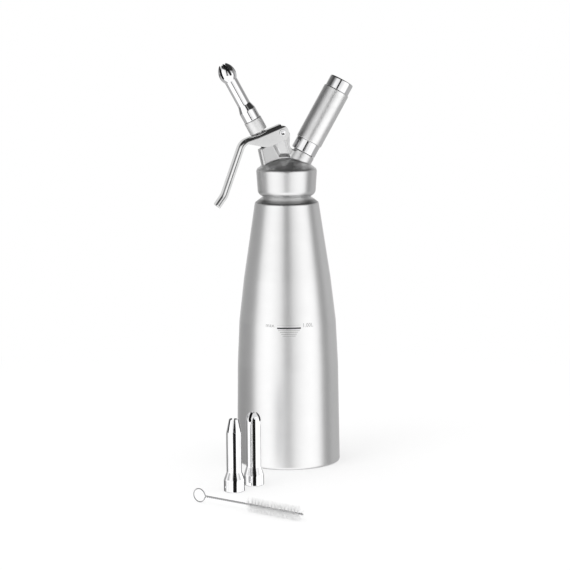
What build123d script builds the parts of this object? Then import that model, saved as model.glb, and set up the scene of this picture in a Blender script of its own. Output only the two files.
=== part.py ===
from build123d import *
import math
import os

# Cream whipper with a lever valve, a gas charger holder, two spare nozzles and a cleaning brush.
# Lengths in millimetres, angles in degrees. The bottle stands on z = 0 with its axis on +Z.
# The lever points to -X, the charger holder to +X, and both arms lie in the XZ plane.

# Bottle, a drawn shell of one sheet
bottle_radius = 50.1
bottle_radius_height = 25.0
barrel_draft = 0.8
taper_angle = 8.65
taper_blend = 620.0
shoulder_radius = 31.0
shoulder_height = 254.6
shoulder_slope = 37.0
shoulder_round = 2.6
bottle_wall = 1.0
foot_round = 2.5
base_ring_inner = 38.0
base_recess = 3.0
base_recess_round = 1.5
neck_radius = 22.5
neck_length = 21.7
neck_round = 6.0

# Head: a threaded skirt under a domed top
collar_gap = 0.4
collar_foot_width = 0.6
collar_chamfer = 2.2
collar_radius = 28.0
collar_draft = 3.7
collar_height = 25.3
collar_edge_round = 1.4
dome_height = 11.1
thread_clearance = 0.3
thread_lead_in = 1.2
gasket_thickness = 3.0
gasket_width = 5.0
gasket_clearance = 0.2
cavity_height = 3.0

# Two arms that start from one point on the bottle's axis
arm_rise = 13.2
nozzle_tilt = 28.5
charger_tilt = 29.5

# Web of the head, with the valve block and the lever's tower
web_thickness = 14.0
web_foot_round = 2.2
block_half_width = 9.0
block_end_draft = 12.3
block_end_round = 3.5
tower_width = 13.4
tower_clearance = 0.15
tower_head_reach = 2.2
tower_head_round = 3.5
tower_shoulder_drop = 1.0
tower_shoulder_round = 2.0
tower_lean = 2.6
shelf_round = 5.0
pocket_depth = 3.0
pocket_from_axis = 4.2
pocket_floor_rise = 1.6
rib_width = 5.4
rib_lean = 18.0

# Valve, along the nozzle arm
valve_seat_along = 20.0
valve_chamber_radius = 8.0
valve_bore_radius = 5.0
valve_bore_length = 13.0
stem_radius = 3.5
stem_bore_radius = 2.0
stem_port_radius = 1.3
stem_tail_radius = 2.2
stem_tail_length = 10.0
stem_plate_radius = 5.5
stem_plate_thickness = 1.5
stem_wall_thickness = 3.0
running_clearance = 0.05
press_clearance = 0.02
seal_gap = 0.3
seal_radius = 7.0
seal_taper = 1.2
guide_length = 3.6
spring_pocket_radius = 6.3
spring_pocket_depth = 5.0
spring_wire = 1.2
spring_radius = 5.0
spring_turns = 5
spring_end_gap = 0.2
spring_cap_radius = 6.2
spring_cap_thickness = 4.0
spring_cap_lip = 2.0
spring_cap_lip_radius = 4.2

# Lever: one sheet folded to a channel, with deep cheeks at the pivot
pivot_x = -5.0
pivot_rise = 24.87
sheet = 1.5
lever_width = 18.0
lever_slope = 21.7
lever_press = 12.0
web_over_pivot = 7.93
web_start = -1.5
flange_depth = 5.4
fold_round = 3.0
handle_bend_along = 40.6
handle_bend = 48.6
handle_bend_radius = 14.0
handle_length = 54.4
tip_flick = 16.0
tip_flick_radius = 14.0
tip_length = 10.7
tip_round = 1.0
cheek_end = 6.0
cheek_top = 6.05
cheek_top_round = 4.4
cheek_under = 7.7
cheek_end_round = 7.6
cheek_low_along = 19.0
cheek_low_round = 12.0
cheek_run_out = 36.3
cheek_lap = 0.85
slot_width = 8.0
slot_length = 10.6
lever_gap = 0.3

# Pivot pin, a hollow rivet
pin_radius = 2.0
pin_head_radius = 3.2
pin_head_thickness = 0.9
pin_dish_radius = 1.7
pin_dish_depth = 0.6
pin_head_gap = 0.2

# Nozzle adapter on the valve stem
adapter_gap = 1.25
adapter_radius = 8.8
adapter_length = 12.75
adapter_chamfer = 0.6
adapter_grip_length = 9.55
adapter_edge_round = 0.5
spigot_radius = 4.85
spigot_length = 8.0
adapter_seal_thickness = 1.2
adapter_seal_width = 1.5
seat_gap = 0.1

# Mounted nozzle with a toothed tulip tip
nozzle_wall = 0.9
tulip_base_radius = 8.3
tulip_base_length = 10.3
tulip_flare_length = 6.5
tulip_stem_radius = 6.3
tulip_stem_length = 26.3
tulip_bulb_radius = 8.4
tulip_bulb_length = 17.1
tulip_widest_from_tip = 10.3
tulip_tip_radius = 3.8
tulip_teeth = 6
tulip_slot_depth = 12.4
tulip_slot_tip_width = 3.2
tulip_slot_root_width = 2.2
tulip_turn = 90.0
nozzle_flare_round = 3.0

# Spare nozzles, which stand on their feet
insert_length = 7.0
insert_recess = 1.2
foot_rim_round = 0.8
straight_base_radius = 9.75
straight_base_length = 11.0
straight_flare_length = 7.2
straight_stem_radius = 7.1
straight_stem_length = 36.8
straight_cone_length = 12.5
straight_tip_radius = 4.4
straight_slots = 6
straight_slot_width = 1.8
straight_turn = -90.5
straight_x = -72.95
straight_y = -123.55
star_base_radius = 9.6
star_base_length = 9.5
star_flare_length = 8.0
star_stem_radius = 7.0
star_stem_length = 43.5
star_dome_length = 7.5
star_tip_radius = 3.2
star_slots = 4
star_slot_width = 2.8
star_slot_depth = 8.2
star_turn = 43.0
star_x = -51.0
star_y = -101.0

# Gas inlet and charger holder, along the charger arm
boss_radius = 12.3
boss_top_along = 32.8
scoop_from_axis = 8.0
scoop_depth = 2.4
scoop_round = 2.0
holder_gap = 0.3
stub_radius = 9.5
stub_length = 11.2
stub_bore_radius = 5.0
stub_bore_depth = 6.5
charger_seal_thickness = 2.0
pierce_pin_radius = 1.3
pierce_pin_point = 3.0
pierce_pin_reach = 3.6
pierce_base_radius = 2.8
pierce_base_length = 4.0
check_valve_length = 5.0
check_valve_lips = 2.0
gas_bore_radius = 1.2
charger_radius = 9.0
charger_length = 66.0
charger_neck_radius = 4.3
charger_neck_length = 6.4
charger_shoulder_length = 9.0
charger_end_round = 6.0
charger_wall = 1.6
charger_hole_radius = 1.8
charger_clearance = 0.4
holder_ring_radius = 12.3
holder_ring_length = 11.6
holder_tube_radius = 11.3
holder_spigot_radius = 10.8
holder_spigot_length = 5.0
holder_edge_round = 0.5
sleeve_radius = 13.0
sleeve_chamfer = 0.7
cap_radius = 12.1
cap_length = 11.1
cap_end_wall = 4.3
cap_edge_round = 0.8
cushion_thickness = 2.5

# Cleaning brush: one doubled wire with a loop, and bristles caught in its twist
brush_angle = -49.2
brush_x = -110.9
brush_y = -162.3
brush_loop_radius = 6.0
brush_loop_apex = 7.9
brush_loop_wire = 0.5
brush_stem_radius = 0.95
brush_stem_length = 49.2
bristle_zone = 58.9
bristle_reach = 6.1
bristle_width = 0.32
bristle_count = 330
bristle_turn = 137.508
brush_tip = 2.6


# Places that follow from the sizes above
barrel_slope = math.tan(math.radians(barrel_draft))
taper_slope = math.tan(math.radians(taper_angle))
foot_radius = bottle_radius + barrel_slope * bottle_radius_height
taper_rise = (foot_radius - shoulder_radius - taper_slope * shoulder_height) / (barrel_slope - taper_slope)
neck_root = shoulder_height + (shoulder_radius - neck_radius) * math.tan(math.radians(shoulder_slope))
neck_top = neck_root + neck_length
collar_bottom = neck_root + collar_gap
collar_top = collar_bottom + collar_height
thread_radius = neck_radius + thread_clearance
collar_foot_radius = thread_radius + thread_lead_in + collar_foot_width
collar_side_height = collar_height - collar_chamfer
collar_top_radius = collar_radius + collar_side_height * math.tan(math.radians(collar_draft))
dome_top = collar_top + dome_height
dome_sphere = (collar_top_radius**2 + dome_height**2) / (2 * dome_height)
gasket_seat = neck_top + gasket_thickness
cavity_radius = neck_radius - gasket_width
arm_meet = neck_root + arm_rise
fold_inner = fold_round - sheet
cheek_gap = lever_width / 2 - sheet - web_thickness / 2
fold_drop = fold_inner - math.sqrt(fold_inner**2 - max(fold_inner - cheek_gap, 0) ** 2)
tower_head_radius = web_over_pivot - sheet - fold_drop - tower_clearance


def arm_plane(tilt, side):
    """Plane whose Z runs out along an arm and whose X stays in the plane of the arms."""
    lean = math.radians(tilt)
    out = (side * math.sin(lean), 0, math.cos(lean))
    across = (math.cos(lean), 0, -side * math.sin(lean))
    return Plane(origin=(0, 0, arm_meet), x_dir=across, z_dir=out)


nozzle_arm = arm_plane(nozzle_tilt, -1)
charger_arm = arm_plane(charger_tilt, 1)


def on_arm(arm, along, across):
    """Point in the plane of the arms, at a distance along an arm and across it."""
    return arm.origin + arm.z_dir * along + arm.x_dir * across


# The lever's own plane: X runs out along the web, Y stands up from it
lean = math.radians(lever_slope)
lever_plane = Plane(
    origin=(pivot_x, 0, dome_top + pivot_rise),
    x_dir=(-math.cos(lean), 0, -math.sin(lean)),
    z_dir=(0, 1, 0),
)
pivot = lever_plane.origin
pivot_along = (pivot - nozzle_arm.origin).dot(nozzle_arm.z_dir)
pivot_across = (pivot - nozzle_arm.origin).dot(nozzle_arm.x_dir)
web_tilt = math.radians(nozzle_tilt - lever_slope)


def web_along(over_pivot):
    """Where a line of the lever, this far over the pivot, crosses the nozzle arm's axis."""
    return pivot_along + over_pivot / math.cos(web_tilt) + pivot_across * math.tan(web_tilt)


web_underside_along = web_along(web_over_pivot - sheet)
stem_slot_along = pivot_across * math.cos(web_tilt) + web_over_pivot * math.sin(web_tilt)
slot_centre_along = stem_slot_along - pivot_across * math.radians(lever_press) ** 2

# Heights along the nozzle arm
valve_bore_top = valve_seat_along + valve_bore_length
spring_pocket_floor = valve_bore_top + stem_wall_thickness
block_top = spring_pocket_floor + spring_pocket_depth
spring_cap_top = web_underside_along - spring_cap_radius * math.tan(abs(web_tilt)) - lever_gap
spring_cap_bottom = spring_cap_top - spring_cap_thickness
oring_round = (valve_bore_radius - stem_radius - running_clearance - press_clearance) / 2
guide_top = valve_bore_top - 2 * oring_round - 2 * press_clearance
stem_plate_top = valve_seat_along - seal_gap - stem_tail_length + stem_plate_thickness
adapter_bottom = web_along(web_over_pivot) + adapter_gap
adapter_top = adapter_bottom + adapter_length
stem_top = adapter_bottom + adapter_grip_length
nozzle_foot = adapter_top + seat_gap

# Heights along the charger arm
holder_bottom = boss_top_along + holder_gap
stub_top = boss_top_along + stub_length
stub_floor = stub_top - stub_bore_depth
charger_tip = stub_floor + charger_seal_thickness + seat_gap
charger_end = charger_tip + charger_length
holder_end = charger_end + cushion_thickness + cap_end_wall
cap_bottom = holder_end - cap_length
sleeve_bottom = holder_bottom + holder_ring_length


def turned(*outline):
    """Solid turned about Z from a closed outline of (radius, height) points."""
    return revolve(make_face(Polyline([(r, 0, z) for r, z in outline], close=True)), Axis.Z)


def rod(radius, bottom, top):
    """Round bar on the Z axis between two heights."""
    return Pos(0, 0, bottom) * Cylinder(radius, top - bottom, align=(Align.CENTER, Align.CENTER, Align.MIN))


def ring(inner, outer, bottom, top):
    """Plain turned ring on the Z axis."""
    return turned((inner, bottom), (outer, bottom), (outer, top), (inner, top))


def round_ring(middle, section, height):
    """Ring of round section on the Z axis."""
    return Pos(0, 0, height) * Torus(middle, section)


def circles_at(solid, radius, height):
    """Circular edges of a turned solid at one radius and height."""
    return [
        e
        for e in solid.edges().filter_by(GeomType.CIRCLE)
        if abs(e.radius - radius) < 1e-3 and abs(e.arc_center.Z - height) < 1e-3
    ]


def flat_in_arms(points, radii=None):
    """Face in the plane of the arms from 3D corner points, with a radius for each corner."""
    outline = FilletPolyline(points, radius=radii, close=True) if radii else Polyline(points, close=True)
    return make_face(outline)


def bottle_shell():
    points = [
        (0, 0, base_recess),
        (base_ring_inner - base_recess, 0, base_recess),
        (base_ring_inner, 0, 0),
        (foot_radius, 0, 0),
        (foot_radius - barrel_slope * taper_rise, 0, taper_rise),
        (shoulder_radius, 0, shoulder_height),
        (neck_radius, 0, neck_root),
        (neck_radius, 0, neck_top),
    ]
    radii = [base_recess_round, base_recess_round, foot_round, taper_blend, shoulder_round, neck_round]
    outside = FilletPolyline(points, radius=radii)
    wall = outside.wire().offset_2d(bottle_wall, kind=Kind.INTERSECTION, side=Side.RIGHT, closed=True)
    return revolve(make_face(wall.edges()), Axis.Z)


def head_outside():
    """Skirt and domed top of the head, still solid inside."""
    dome = TangentArc((0, 0, dome_top), (collar_top_radius, 0, collar_top), tangent=(1, 0, 0))
    side = Polyline(
        (collar_top_radius, 0, collar_top),
        (collar_radius, 0, collar_bottom + collar_chamfer),
        (collar_foot_radius, 0, collar_bottom),
        (0, 0, collar_bottom),
        (0, 0, dome_top),
    )
    solid = revolve(make_face(dome + side), Axis.Z)
    return fillet(circles_at(solid, collar_top_radius, collar_top), collar_edge_round)


def head_web():
    """Flat-sided web that carries the valve block and the lever's tower."""
    root = gasket_seat
    block_left = on_arm(nozzle_arm, block_top, -block_half_width)
    block_right = on_arm(nozzle_arm, block_top, block_half_width)
    block_foot_x = block_left.X + (block_left.Z - root) * math.tan(math.radians(block_end_draft))
    tower_left = pivot.X - tower_head_radius
    tower_right = tower_left + tower_width
    tower_top = pivot.Z + tower_head_radius
    shelf_along = boss_top_along - scoop_depth
    shelf_x = tower_right - tower_lean * math.tan(math.radians(block_end_draft))
    shelf_across = (shelf_x - shelf_along * charger_arm.z_dir.X) / charger_arm.x_dir.X
    points = [
        (block_foot_x, 0, root),
        block_left,
        block_right,
        (tower_left, 0, block_right.Z),
        (tower_left, 0, tower_top),
        (pivot.X + tower_head_reach, 0, tower_top),
        (tower_right, 0, pivot.Z - tower_shoulder_drop),
        on_arm(charger_arm, shelf_along, shelf_across),
        on_arm(charger_arm, shelf_along, 0),
        (boss_radius, 0, root),
    ]
    points = [Vector(p) for p in points]
    head_corner = tower_head_radius - seat_gap
    radii = [0, 0, 0, 0, head_corner, tower_head_round, tower_shoulder_round, shelf_round, 0, 0]
    web = extrude(flat_in_arms(points, radii), web_thickness / 2, both=True)
    end_middle = (points[0] + points[1]) / 2
    reach = web_thickness / 2
    end_edges = [edge for edge in web.edges() if abs((edge @ 0.5 - end_middle).length - reach) < 1e-3]
    return fillet(end_edges, block_end_round)


def web_pocket():
    """Slope-sided hollow in the near side of the web, between the valve block and the tower's rib."""
    rib_right = pivot.X - tower_head_radius + tower_width
    low = dome_top + pocket_floor_rise - seat_gap
    high = pivot.Z - tower_head_radius
    low_along = (low - arm_meet - pocket_from_axis * nozzle_arm.x_dir.Z) / nozzle_arm.z_dir.Z
    rib_left_low = rib_right - rib_width + (high - low) * math.tan(math.radians(rib_lean))
    face_y = -web_thickness / 2
    corners = [
        on_arm(nozzle_arm, low_along, pocket_from_axis),
        Vector(rib_left_low, 0, low),
        Vector(rib_right - rib_width, 0, high),
        on_arm(nozzle_arm, block_top + spring_pocket_depth, pocket_from_axis),
    ]
    outline = Polyline([(p.X, face_y, p.Z) for p in corners], close=True)
    return extrude(make_face(outline), pocket_depth, dir=(0, 1, 0), taper=45)


def charger_boss():
    """Round boss of the gas inlet, scooped on the tower's side to let the holder's ring turn."""
    boss = charger_arm * rod(boss_radius, 0, boss_top_along)
    floor = boss_top_along - scoop_depth
    high = boss_top_along + scoop_depth
    far = -2 * boss_radius
    corners = [(far, floor), (-scoop_from_axis, floor), (-scoop_from_axis, high), (far, high)]
    points = [on_arm(charger_arm, along, across) for across, along in corners]
    scoop = extrude(flat_in_arms(points, [0, scoop_round, 0, 0]), 2 * boss_radius, both=True)
    above_dome = Pos(0, 0, gasket_seat) * Cylinder(
        2 * collar_radius, 4 * boss_radius, align=(Align.CENTER, Align.CENTER, Align.MIN)
    )
    return (boss - scoop) & above_dome


def head_inside():
    """Every hollow of the head: thread, cavity, valve passage and gas passage."""
    below = collar_bottom - thread_lead_in
    thread = turned(
        (0, below),
        (thread_radius + 2 * thread_lead_in, below),
        (thread_radius, collar_bottom + thread_lead_in),
        (thread_radius, gasket_seat),
        (cavity_radius, gasket_seat),
        (cavity_radius, gasket_seat + cavity_height),
        (0, gasket_seat + cavity_height),
    )
    valve = nozzle_arm * (
        rod(valve_chamber_radius, 0, valve_seat_along)
        + rod(valve_bore_radius, 0, valve_bore_top)
        + rod(stem_radius + running_clearance, 0, block_top)
        + rod(spring_pocket_radius, spring_pocket_floor, block_top + spring_pocket_depth)
    )
    gas = charger_arm * (
        rod(gas_bore_radius, 0, stub_floor)
        + rod(pierce_base_radius, stub_floor - pierce_base_length - check_valve_length, stub_floor)
        + rod(stub_bore_radius, stub_floor, stub_top + stub_bore_depth)
    )
    return thread + valve + gas


def on_dome(edge):
    """True for an edge that lies on the dome's sphere, away from the collar's edge."""
    centre = Vector(0, 0, dome_top - dome_sphere)
    points = [edge @ share for share in (0.1, 0.5, 0.9)]
    near = all(abs((p - centre).length - dome_sphere) < 1e-3 for p in points)
    return near and all(p.Z > collar_top + collar_edge_round for p in points)


def head_body():
    pocket = web_pocket()
    solid = head_outside() + head_web() + charger_boss()
    solid = fillet(solid.edges().filter_by(on_dome), web_foot_round)
    solid -= pocket
    solid -= mirror(pocket, about=Plane.XZ)
    solid += charger_arm * rod(stub_radius, boss_top_along - scoop_depth, stub_top)
    solid -= head_inside()
    pin_hole = Pos(pivot) * Rot(90, 0, 0) * Cylinder(pin_radius + press_clearance, 2 * web_thickness)
    return solid - pin_hole


def head_gasket():
    return ring(cavity_radius, neck_radius - gasket_clearance, neck_top, gasket_seat)


def stem_guide():
    inner = stem_radius + running_clearance
    return nozzle_arm * ring(inner, valve_bore_radius - press_clearance, guide_top - guide_length, guide_top)


def stem_oring():
    middle = stem_radius + running_clearance + oring_round
    return nozzle_arm * round_ring(middle, oring_round, valve_bore_top - oring_round - press_clearance)


def valve_stem():
    port_along = valve_seat_along + 2 * stem_bore_radius + stem_port_radius
    bottom = stem_plate_top - stem_plate_thickness
    stem = rod(stem_radius, valve_seat_along, stem_top)
    stem += rod(stem_tail_radius, bottom, valve_seat_along)
    stem += rod(stem_plate_radius, bottom, stem_plate_top)
    stem -= rod(stem_bore_radius, valve_seat_along + stem_bore_radius, stem_top)
    ports = Pos(0, 0, port_along) * Rot(90, 0, 0) * Cylinder(stem_port_radius, 4 * stem_radius)
    return nozzle_arm * (stem - ports)


def valve_seal():
    inner = stem_tail_radius + press_clearance
    top = valve_seat_along - seal_gap
    return nozzle_arm * turned(
        (inner, stem_plate_top),
        (stem_plate_radius, stem_plate_top),
        (seal_radius, stem_plate_top + (top - stem_plate_top) / 2),
        (seal_radius, top - seal_taper),
        (seal_radius - seal_taper, top),
        (inner, top),
    )


def spring_cap():
    inner = stem_radius + press_clearance
    lip = spring_cap_bottom - spring_cap_lip
    return nozzle_arm * turned(
        (inner, lip),
        (spring_cap_lip_radius, lip),
        (spring_cap_lip_radius, spring_cap_bottom),
        (spring_cap_radius, spring_cap_bottom),
        (spring_cap_radius, spring_cap_top),
        (inner, spring_cap_top),
    )


def helix_point(turn, length, turns, radius):
    """Point of a helix on Z and its direction, after a number of turns."""
    angle = 2 * math.pi * turn
    rise = length / turns
    point = Vector(radius * math.cos(angle), radius * math.sin(angle), rise * turn)
    way = Vector(-radius * math.sin(angle), radius * math.cos(angle), rise / (2 * math.pi))
    return point, way.normalized()


def biarc(start, start_way, end, end_way):
    """Two arcs that leave one point and reach another in the given directions."""
    chord = end - start
    ways = start_way + end_way
    bend = 2 * (1 - start_way.dot(end_way))
    reach = (math.sqrt(chord.dot(ways) ** 2 + bend * chord.dot(chord)) - chord.dot(ways)) / bend
    middle = (start + end + (start_way - end_way) * reach) * 0.5
    middle_way = (end - end_way * reach) - (start + start_way * reach)
    first = Edge.make_tangent_arc(start, start_way, middle)
    second = Edge.make_tangent_arc(middle, middle_way, end)
    return [first, second]


def return_spring():
    bottom = spring_pocket_floor + spring_end_gap + spring_wire / 2
    length = spring_cap_bottom - spring_end_gap - spring_wire / 2 - bottom
    quarters = 4 * spring_turns
    path = []
    for quarter in range(quarters):
        start, start_way = helix_point(quarter / 4, length, spring_turns, spring_radius)
        end, end_way = helix_point((quarter + 1) / 4, length, spring_turns, spring_radius)
        path += biarc(start, start_way, end, end_way)
    first, first_way = helix_point(0, length, spring_turns, spring_radius)
    section = Plane(origin=first, x_dir=(1, 0, 0), z_dir=first_way) * Circle(spring_wire / 2)
    steps = range(24 * spring_turns)
    samples = [helix_point(step / 24, length, spring_turns, spring_radius)[0] for step in steps]
    far = [(a - b).length for i, a in enumerate(samples) for b in samples[i + 12:]]
    print("return spring: least gap to itself", round(min(far) - spring_wire, 2), "mm")
    coil = sweep(section, Wire(path))
    return nozzle_arm * (Pos(0, 0, bottom) * coil)


def lever_point(along, over):
    """Point of the lever's side view, from its own plane to the frame."""
    return lever_plane.origin + lever_plane.x_dir * along + lever_plane.y_dir * over


def lever_path():
    """Outer line of the folded sheet, from the pivot end to the tip of the handle."""
    bend = math.radians(handle_bend)
    flick = math.radians(handle_bend - tip_flick)
    corner = (handle_bend_along, web_over_pivot)
    knee = (corner[0] + handle_length * math.cos(bend), corner[1] - handle_length * math.sin(bend))
    tip = (knee[0] + tip_length * math.cos(flick), knee[1] - tip_length * math.sin(flick))
    points = [lever_point(*p) for p in ((web_start, web_over_pivot), corner, knee, tip)]
    return FilletPolyline(points, radius=[handle_bend_radius, tip_flick_radius])


def channel_section(filled):
    """Section of the folded sheet, or its filled outline, with its back on the X axis."""
    outer = Rectangle(lever_width, flange_depth, align=(Align.CENTER, Align.MAX))
    outer = fillet(outer.vertices().group_by(Axis.Y)[-1], fold_round)
    if filled:
        return outer
    inner_width = lever_width - 2 * sheet
    inner = Pos(0, -sheet) * Rectangle(inner_width, 2 * flange_depth, align=(Align.CENTER, Align.MAX))
    inner = fillet(inner.vertices().group_by(Axis.Y)[-1], fold_round - sheet)
    return outer - inner


def lever():
    path = lever_path()
    start = Plane(origin=path @ 0, x_dir=(0, -1, 0), z_dir=path % 0)
    channel = sweep(start * channel_section(False), path.wire())
    end = Plane(origin=path @ 1, x_dir=(0, -1, 0), z_dir=path % 1)
    tip = extrude(end * channel_section(True), sheet, dir=path % 1)
    tip_face = tip.faces().sort_by(Axis(end.origin, end.z_dir))[-1]
    tip = fillet(tip_face.edges().sort_by(Axis(end.origin, end.y_dir))[1:], tip_round)

    lap = web_over_pivot - flange_depth + cheek_lap
    outline = [
        (cheek_run_out, lap),
        (web_start, lap),
        (web_start, cheek_top),
        (-cheek_end, cheek_top),
        (-cheek_end, -cheek_under),
        (cheek_low_along, -cheek_under),
    ]
    radii = [0, 0, 0, cheek_top_round, cheek_end_round, cheek_low_round]
    cheek = flat_in_arms([lever_point(*p) for p in outline], radii)
    aside = (lever_width - sheet) / 2
    plates = [extrude(Pos(0, y, 0) * cheek, sheet / 2, both=True) for y in (-aside, aside)]

    slot = Pos(lever_point(slot_centre_along, web_over_pivot)) * Rot(0, lever_slope + 180, 0)
    slot *= extrude(SlotOverall(slot_length, slot_width), 4 * sheet, both=True)
    hole = Pos(pivot) * Rot(90, 0, 0) * Cylinder(pin_radius + running_clearance, 2 * lever_width)
    return channel + tip + plates[0] + plates[1] - slot - hole


def pivot_pin():
    half = lever_width / 2 + pin_head_gap
    end = half + pin_head_thickness
    dish_floor = end - pin_dish_depth
    pin = turned(
        (0, -dish_floor),
        (pin_dish_radius, -end),
        (pin_head_radius - pin_head_gap, -end),
        (pin_head_radius, -end + pin_head_gap),
        (pin_head_radius, -half),
        (pin_radius, -half),
        (pin_radius, half),
        (pin_head_radius, half),
        (pin_head_radius, end - pin_head_gap),
        (pin_head_radius - pin_head_gap, end),
        (pin_dish_radius, end),
        (0, dish_floor),
    )
    return Pos(pivot) * Rot(90, 0, 0) * pin


def nozzle_adapter():
    body = turned(
        (stem_radius + press_clearance, adapter_bottom),
        (adapter_radius - adapter_chamfer, adapter_bottom),
        (adapter_radius, adapter_bottom + adapter_chamfer),
        (adapter_radius, adapter_top),
        (spigot_radius, adapter_top),
        (spigot_radius, adapter_top + spigot_length),
        (stem_bore_radius, adapter_top + spigot_length),
        (stem_bore_radius, stem_top),
        (stem_radius + press_clearance, stem_top),
    )
    return nozzle_arm * fillet(circles_at(body, adapter_radius, adapter_top), adapter_edge_round)


def adapter_seal():
    inner = spigot_radius + press_clearance
    top = adapter_top + adapter_seal_thickness
    return nozzle_arm * ring(inner, inner + adapter_seal_width, adapter_top, top)


def nozzle_shell(base_radius, base_length, flare_length, stem_radius_here, stem_length, tip_lines):
    """Drawn nozzle: a foot, a flare, a straight stem and the given tip, as one wall."""
    flare_top = base_length + flare_length
    stem_end = flare_top + stem_length
    lower = FilletPolyline(
        [
            (base_radius, 0, 0),
            (base_radius, 0, base_length),
            (stem_radius_here, 0, flare_top),
            (stem_radius_here, 0, stem_end),
        ],
        radius=nozzle_flare_round,
    )
    outside = Wire(lower.edges() + tip_lines(stem_end))
    wall = outside.offset_2d(nozzle_wall, kind=Kind.INTERSECTION, side=Side.RIGHT, closed=True)
    return revolve(make_face(wall.edges()), Axis.Z)


def tulip_tip(bottom):
    tip = bottom + tulip_bulb_length
    widest = (tulip_bulb_radius, 0, tip - tulip_widest_from_tip)
    swell = TangentArc(widest, (tulip_stem_radius, 0, bottom), tangent=(0, 0, -1))
    close_in = TangentArc(widest, (tulip_tip_radius, 0, tip), tangent=(0, 0, 1))
    return swell.edges() + close_in.edges()


def straight_tip(bottom):
    top = bottom + straight_cone_length
    return Line((straight_stem_radius, 0, bottom), (straight_tip_radius, 0, top)).edges()


def star_tip(bottom):
    top = bottom + star_dome_length
    return TangentArc((star_stem_radius, 0, bottom), (star_tip_radius, 0, top), tangent=(0, 0, 1)).edges()


def slots(count, tip, depth, tip_width, root_width, reach, turn):
    """Slots round a nozzle's tip, each cut from the axis out through one wall."""
    over = depth / 4
    half_over = tip_width / 2 + (tip_width - root_width) / 2 * over / depth
    outline = Polyline(
        (0, -root_width / 2, tip - depth),
        (0, root_width / 2, tip - depth),
        (0, half_over, tip + over),
        (0, -half_over, tip + over),
        close=True,
    )
    one = extrude(make_face(outline), reach, dir=(1, 0, 0))
    return [Rot(0, 0, turn + 360 * i / count) * one for i in range(count)]


def tulip_nozzle():
    shell = nozzle_shell(
        tulip_base_radius,
        tulip_base_length,
        tulip_flare_length,
        tulip_stem_radius,
        tulip_stem_length,
        tulip_tip,
    )
    tip = tulip_base_length + tulip_flare_length + tulip_stem_length + tulip_bulb_length
    reach = 2 * tulip_bulb_radius
    cuts = slots(
        tulip_teeth, tip, tulip_slot_depth, tulip_slot_tip_width, tulip_slot_root_width, reach, tulip_turn
    )
    return nozzle_arm * (Pos(0, 0, nozzle_foot) * (shell - cuts))


def straight_nozzle():
    shell = nozzle_shell(
        straight_base_radius,
        straight_base_length,
        straight_flare_length,
        straight_stem_radius,
        straight_stem_length,
        straight_tip,
    )
    tip = straight_base_length + straight_flare_length + straight_stem_length + straight_cone_length
    width = straight_slot_width
    reach = 2 * straight_stem_radius
    cuts = slots(straight_slots, tip, straight_cone_length, width, width, reach, straight_turn)
    return Pos(straight_x, straight_y, 0) * (shell - cuts)


def star_nozzle():
    shell = nozzle_shell(
        star_base_radius, star_base_length, star_flare_length, star_stem_radius, star_stem_length, star_tip
    )
    tip = star_base_length + star_flare_length + star_stem_length + star_dome_length
    width = star_slot_width
    reach = 2 * star_stem_radius
    cuts = slots(star_slots, tip, star_slot_depth, width, width, reach, star_turn)
    return Pos(star_x, star_y, 0) * (shell - cuts)


def nozzle_insert(base_radius, bottom):
    """Threaded bush staked inside a nozzle's foot."""
    bore = spigot_radius + running_clearance
    return ring(bore, base_radius - nozzle_wall - press_clearance, bottom, bottom + insert_length)


def tulip_insert():
    bottom = adapter_top + adapter_seal_thickness + seat_gap
    return nozzle_arm * nozzle_insert(tulip_base_radius, bottom)


def straight_insert():
    return Pos(straight_x, straight_y, 0) * nozzle_insert(straight_base_radius, insert_recess)


def star_insert():
    return Pos(star_x, star_y, 0) * nozzle_insert(star_base_radius, insert_recess)


def check_valve():
    outer = pierce_base_radius - press_clearance
    top = stub_floor - pierce_base_length
    bottom = top - check_valve_length
    lips = bottom + check_valve_lips
    return charger_arm * turned(
        (gas_bore_radius / 2, bottom),
        (gas_bore_radius, bottom),
        (outer, lips),
        (outer, top),
        (gas_bore_radius, top),
        (gas_bore_radius, lips),
        (gas_bore_radius / 2, lips),
    )


def piercing_pin():
    base = stub_floor - pierce_base_length
    tip = charger_tip + pierce_pin_reach
    bore = pierce_pin_radius / 2
    return charger_arm * turned(
        (bore, base),
        (pierce_base_radius - press_clearance, base),
        (pierce_base_radius - press_clearance, stub_floor),
        (pierce_pin_radius, stub_floor),
        (pierce_pin_radius, tip - pierce_pin_point),
        (bore, tip),
    )


def charger_seal():
    inner = pierce_pin_radius + press_clearance
    outer = stub_bore_radius - press_clearance
    return charger_arm * ring(inner, outer, stub_floor, stub_floor + charger_seal_thickness)


def gas_charger():
    neck_top_along = charger_tip + charger_neck_length
    shoulder = neck_top_along + charger_shoulder_length
    outside = FilletPolyline(
        [
            (charger_hole_radius, 0, charger_tip),
            (charger_neck_radius, 0, charger_tip),
            (charger_neck_radius, 0, neck_top_along),
            (charger_radius, 0, shoulder),
            (charger_radius, 0, charger_end),
            (0, 0, charger_end),
        ],
        radius=[0, charger_wall, charger_wall, charger_end_round],
    )
    wall = outside.wire().offset_2d(charger_wall, kind=Kind.INTERSECTION, side=Side.RIGHT, closed=True)
    return charger_arm * revolve(make_face(wall.edges()), Axis.Z)


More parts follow.
